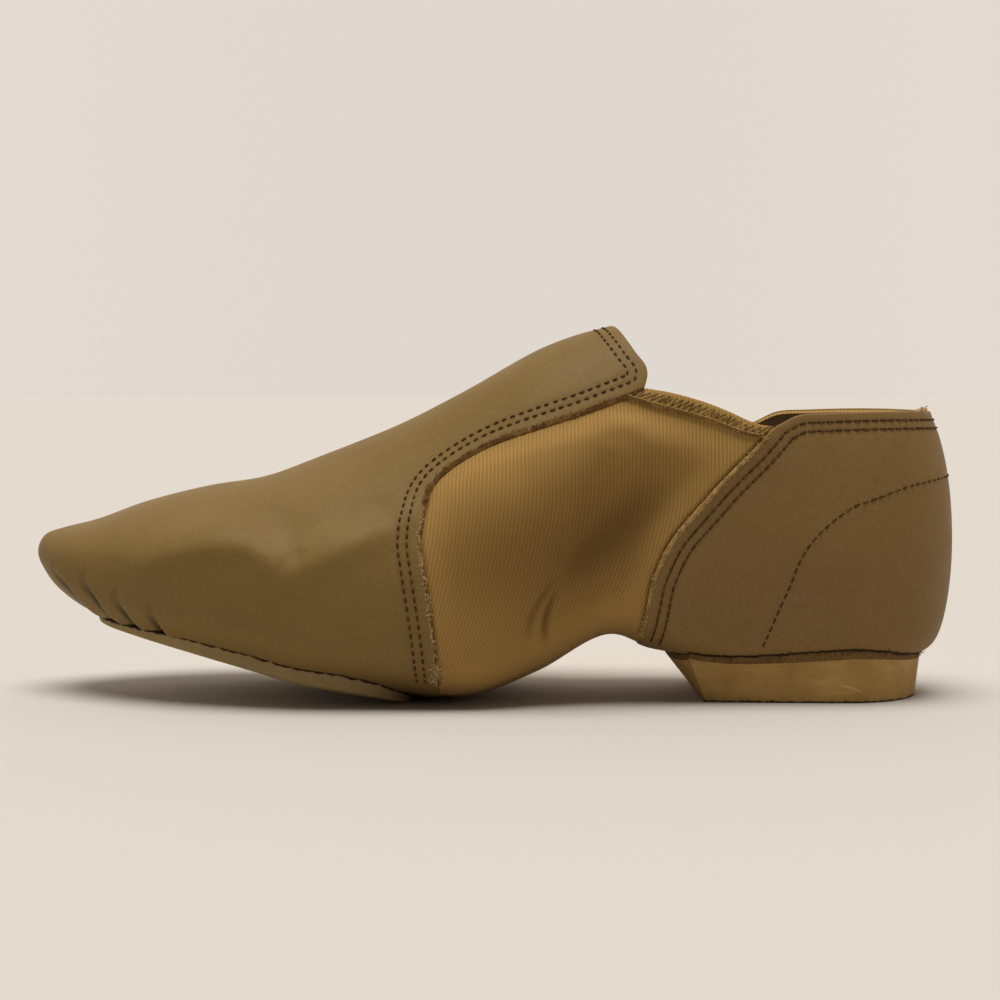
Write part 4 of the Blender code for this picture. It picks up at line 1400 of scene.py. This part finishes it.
def make_rims(gold, umber):
    """The counter's raw golden rim and the overlocked rim along the upper part of the vamp's edge."""
    rims = (
        ("counter_raw_rim", COUNTER_EDGE, 0.01, 0.985, -0.0004, 0.00062, gold),
        ("vamp_overlock_rim", VAMP_EDGE, 0.40, 0.99, -0.0011, 0.00100, umber),
    )
    for name, edge, first, last, height, radius, finish in rims:
        lines = [edge_line(edge, side, height, first, last) for side in SIDES]
        points, outward = (np.stack(part) for part in zip(*lines))
        tubes(name, points + outward * ripple(points, *RIM_WAVES)[..., None], outward, radius, finish, 8)


def make_collar_knot(pale):
    """The loose thread ends where the collar's stitching finishes."""
    base, sideways = placed(sample(COUNTER_COLLAR, np.linspace(0.74, 0.86, 30)), NEAR)
    upward = np.repeat(np.array([[0.0, 0.0, 1.0]]), 30, axis=0)
    line = base - sideways * 0.0008 + upward * 0.0001
    fibres("collar_knot", [(line, upward)], 26, 0.0016, 0.00016, pale, 36, 0.0003)


def make_floor():
    """A plain pale floor."""
    data = bpy.data.meshes.new("floor")
    corners = [(x * FLOOR_REACH, y * FLOOR_REACH, 0) for x, y in ((-1, -1), (1, -1), (1, 1), (-1, 1))]
    data.from_pydata(corners, [], [(0, 1, 2, 3)])
    data.materials.append(blank("floor_paint", 0.9, Specular_IOR_Level=0.2, Base_Color=FLOOR_COLOUR)[0])
    floor = bpy.data.objects.new("floor", data)
    bpy.context.scene.collection.objects.link(floor)


def make_light():
    """A soft sky, brighter behind the shoe and at its ends, and a wide lamp overhead."""
    world = bpy.data.worlds.new("studio")
    bpy.context.scene.world = world
    world.use_nodes = True
    tree = world.node_tree
    sky = tree.nodes["Background"]
    sky.inputs["Color"].default_value = SKY_COLOUR
    x, y, _ = axes(tree, add(tree, "ShaderNodeTexCoord").outputs["Generated"])
    ends = calc(tree, "MULTIPLY", calc(tree, "MULTIPLY", x, x), SKY_ENDS)
    strength = calc(tree, "ADD", ranged(tree, y, -0.2, 0.8, *SKY_FRONT_TO_BACK), ends)
    tree.links.new(strength, sky.inputs["Strength"])
    data = bpy.data.lights.new("key", "SUN")
    data.energy = LAMP_STRENGTH
    data.angle = math.radians(LAMP_SPREAD)
    data.color = LAMP_COLOUR
    lamp = bpy.data.objects.new("key", data)
    lamp.rotation_euler = [math.radians(angle) for angle in LAMP_TURN]
    bpy.context.scene.collection.objects.link(lamp)


def make_camera():
    """The camera at the photograph's angle, level and a little above the shoe."""
    data = bpy.data.cameras.new("camera")
    data.sensor_width = 36.0
    data.lens = CAMERA_LENS
    data.clip_start = 0.01
    data.clip_end = 100
    camera = bpy.data.objects.new("camera", data)
    camera.location = CAMERA_PLACE
    camera.rotation_euler = (math.radians(90 - CAMERA_DOWN), 0, 0)
    bpy.context.scene.collection.objects.link(camera)
    bpy.context.scene.camera = camera
    bpy.context.scene.view_settings.view_transform = "Standard"


def make_shoe():
    """Every piece of the shoe."""
    tan = leather("vamp_tan", (0.248, 0.158, 0.051), (0.230, 0.144, 0.045), 0.46, 0.58)
    heel_tan = leather("counter_tan", (0.256, 0.156, 0.056), (0.236, 0.141, 0.049), 0.50, 0.62)
    flesh = woven_lining("leather_back", (0.30, 0.21, 0.12), (0.22, 0.15, 0.08))
    brown_edge = cut_edge("vamp_cut_edge", (0.22, 0.145, 0.065), (0.13, 0.08, 0.035))
    gold_edge = cut_edge("counter_cut_edge", (0.36, 0.23, 0.075), (0.20, 0.12, 0.035))
    knit = rib_knit("stretch_knit")
    lining = woven_lining("lining_cloth", (0.42, 0.31, 0.19), (0.33, 0.24, 0.14))
    sock = woven_lining("insole_cloth", (0.36, 0.26, 0.15), (0.28, 0.20, 0.11))
    sole_tan = leather("sole_tan", (0.400, 0.285, 0.130), (0.340, 0.235, 0.102), 0.6, 0.8)
    seat = cut_edge("seat_edge", (0.28, 0.160, 0.050), (0.100, 0.052, 0.016))
    board = heel_board("heel_board_tan")
    thread = thread_finish("brown_thread", (0.072, 0.036, 0.011), (0.150, 0.082, 0.027))
    hem_brown = thread_finish("hem_thread", (0.135, 0.072, 0.022), (0.27, 0.160, 0.054))
    umber = thread_finish("umber_thread", (0.210, 0.112, 0.034), (0.38, 0.23, 0.080))
    # the colour painted for the shade inside the needle holes
    hole = thread_finish("needle_hole_shade", (0.022, 0.012, 0.005), (0.04, 0.024, 0.010))
    gold = thread_finish("gold_fibre", (0.40, 0.26, 0.090), (0.60, 0.41, 0.16))
    pale = thread_finish("pale_thread", (0.56, 0.38, 0.17), (0.74, 0.55, 0.28))
    # dark glue; on the heel's glue line it also stands for painted shade in the gap under the counter
    glue = cut_edge("dark_glue", (0.075, 0.042, 0.018), (0.03, 0.017, 0.008))
    make_vamp(tan, flesh, brown_edge)
    make_counter(heel_tan, flesh, gold_edge)
    make_upper(knit, lining, knit)
    make_insole(sock, lining)
    make_sole(sole_tan, sole_tan)
    make_heel(board, seat)
    make_leather_stitches(thread, hole)
    make_hem_stitches(hem_brown, gold)
    make_fibres(pale, umber, gold)
    make_rims(gold, umber)
    make_sole_stitches(glue, hole)
    make_glue_line(glue)
    make_collar_knot(pale)


make_shoe()
make_floor()
make_light()
make_camera()
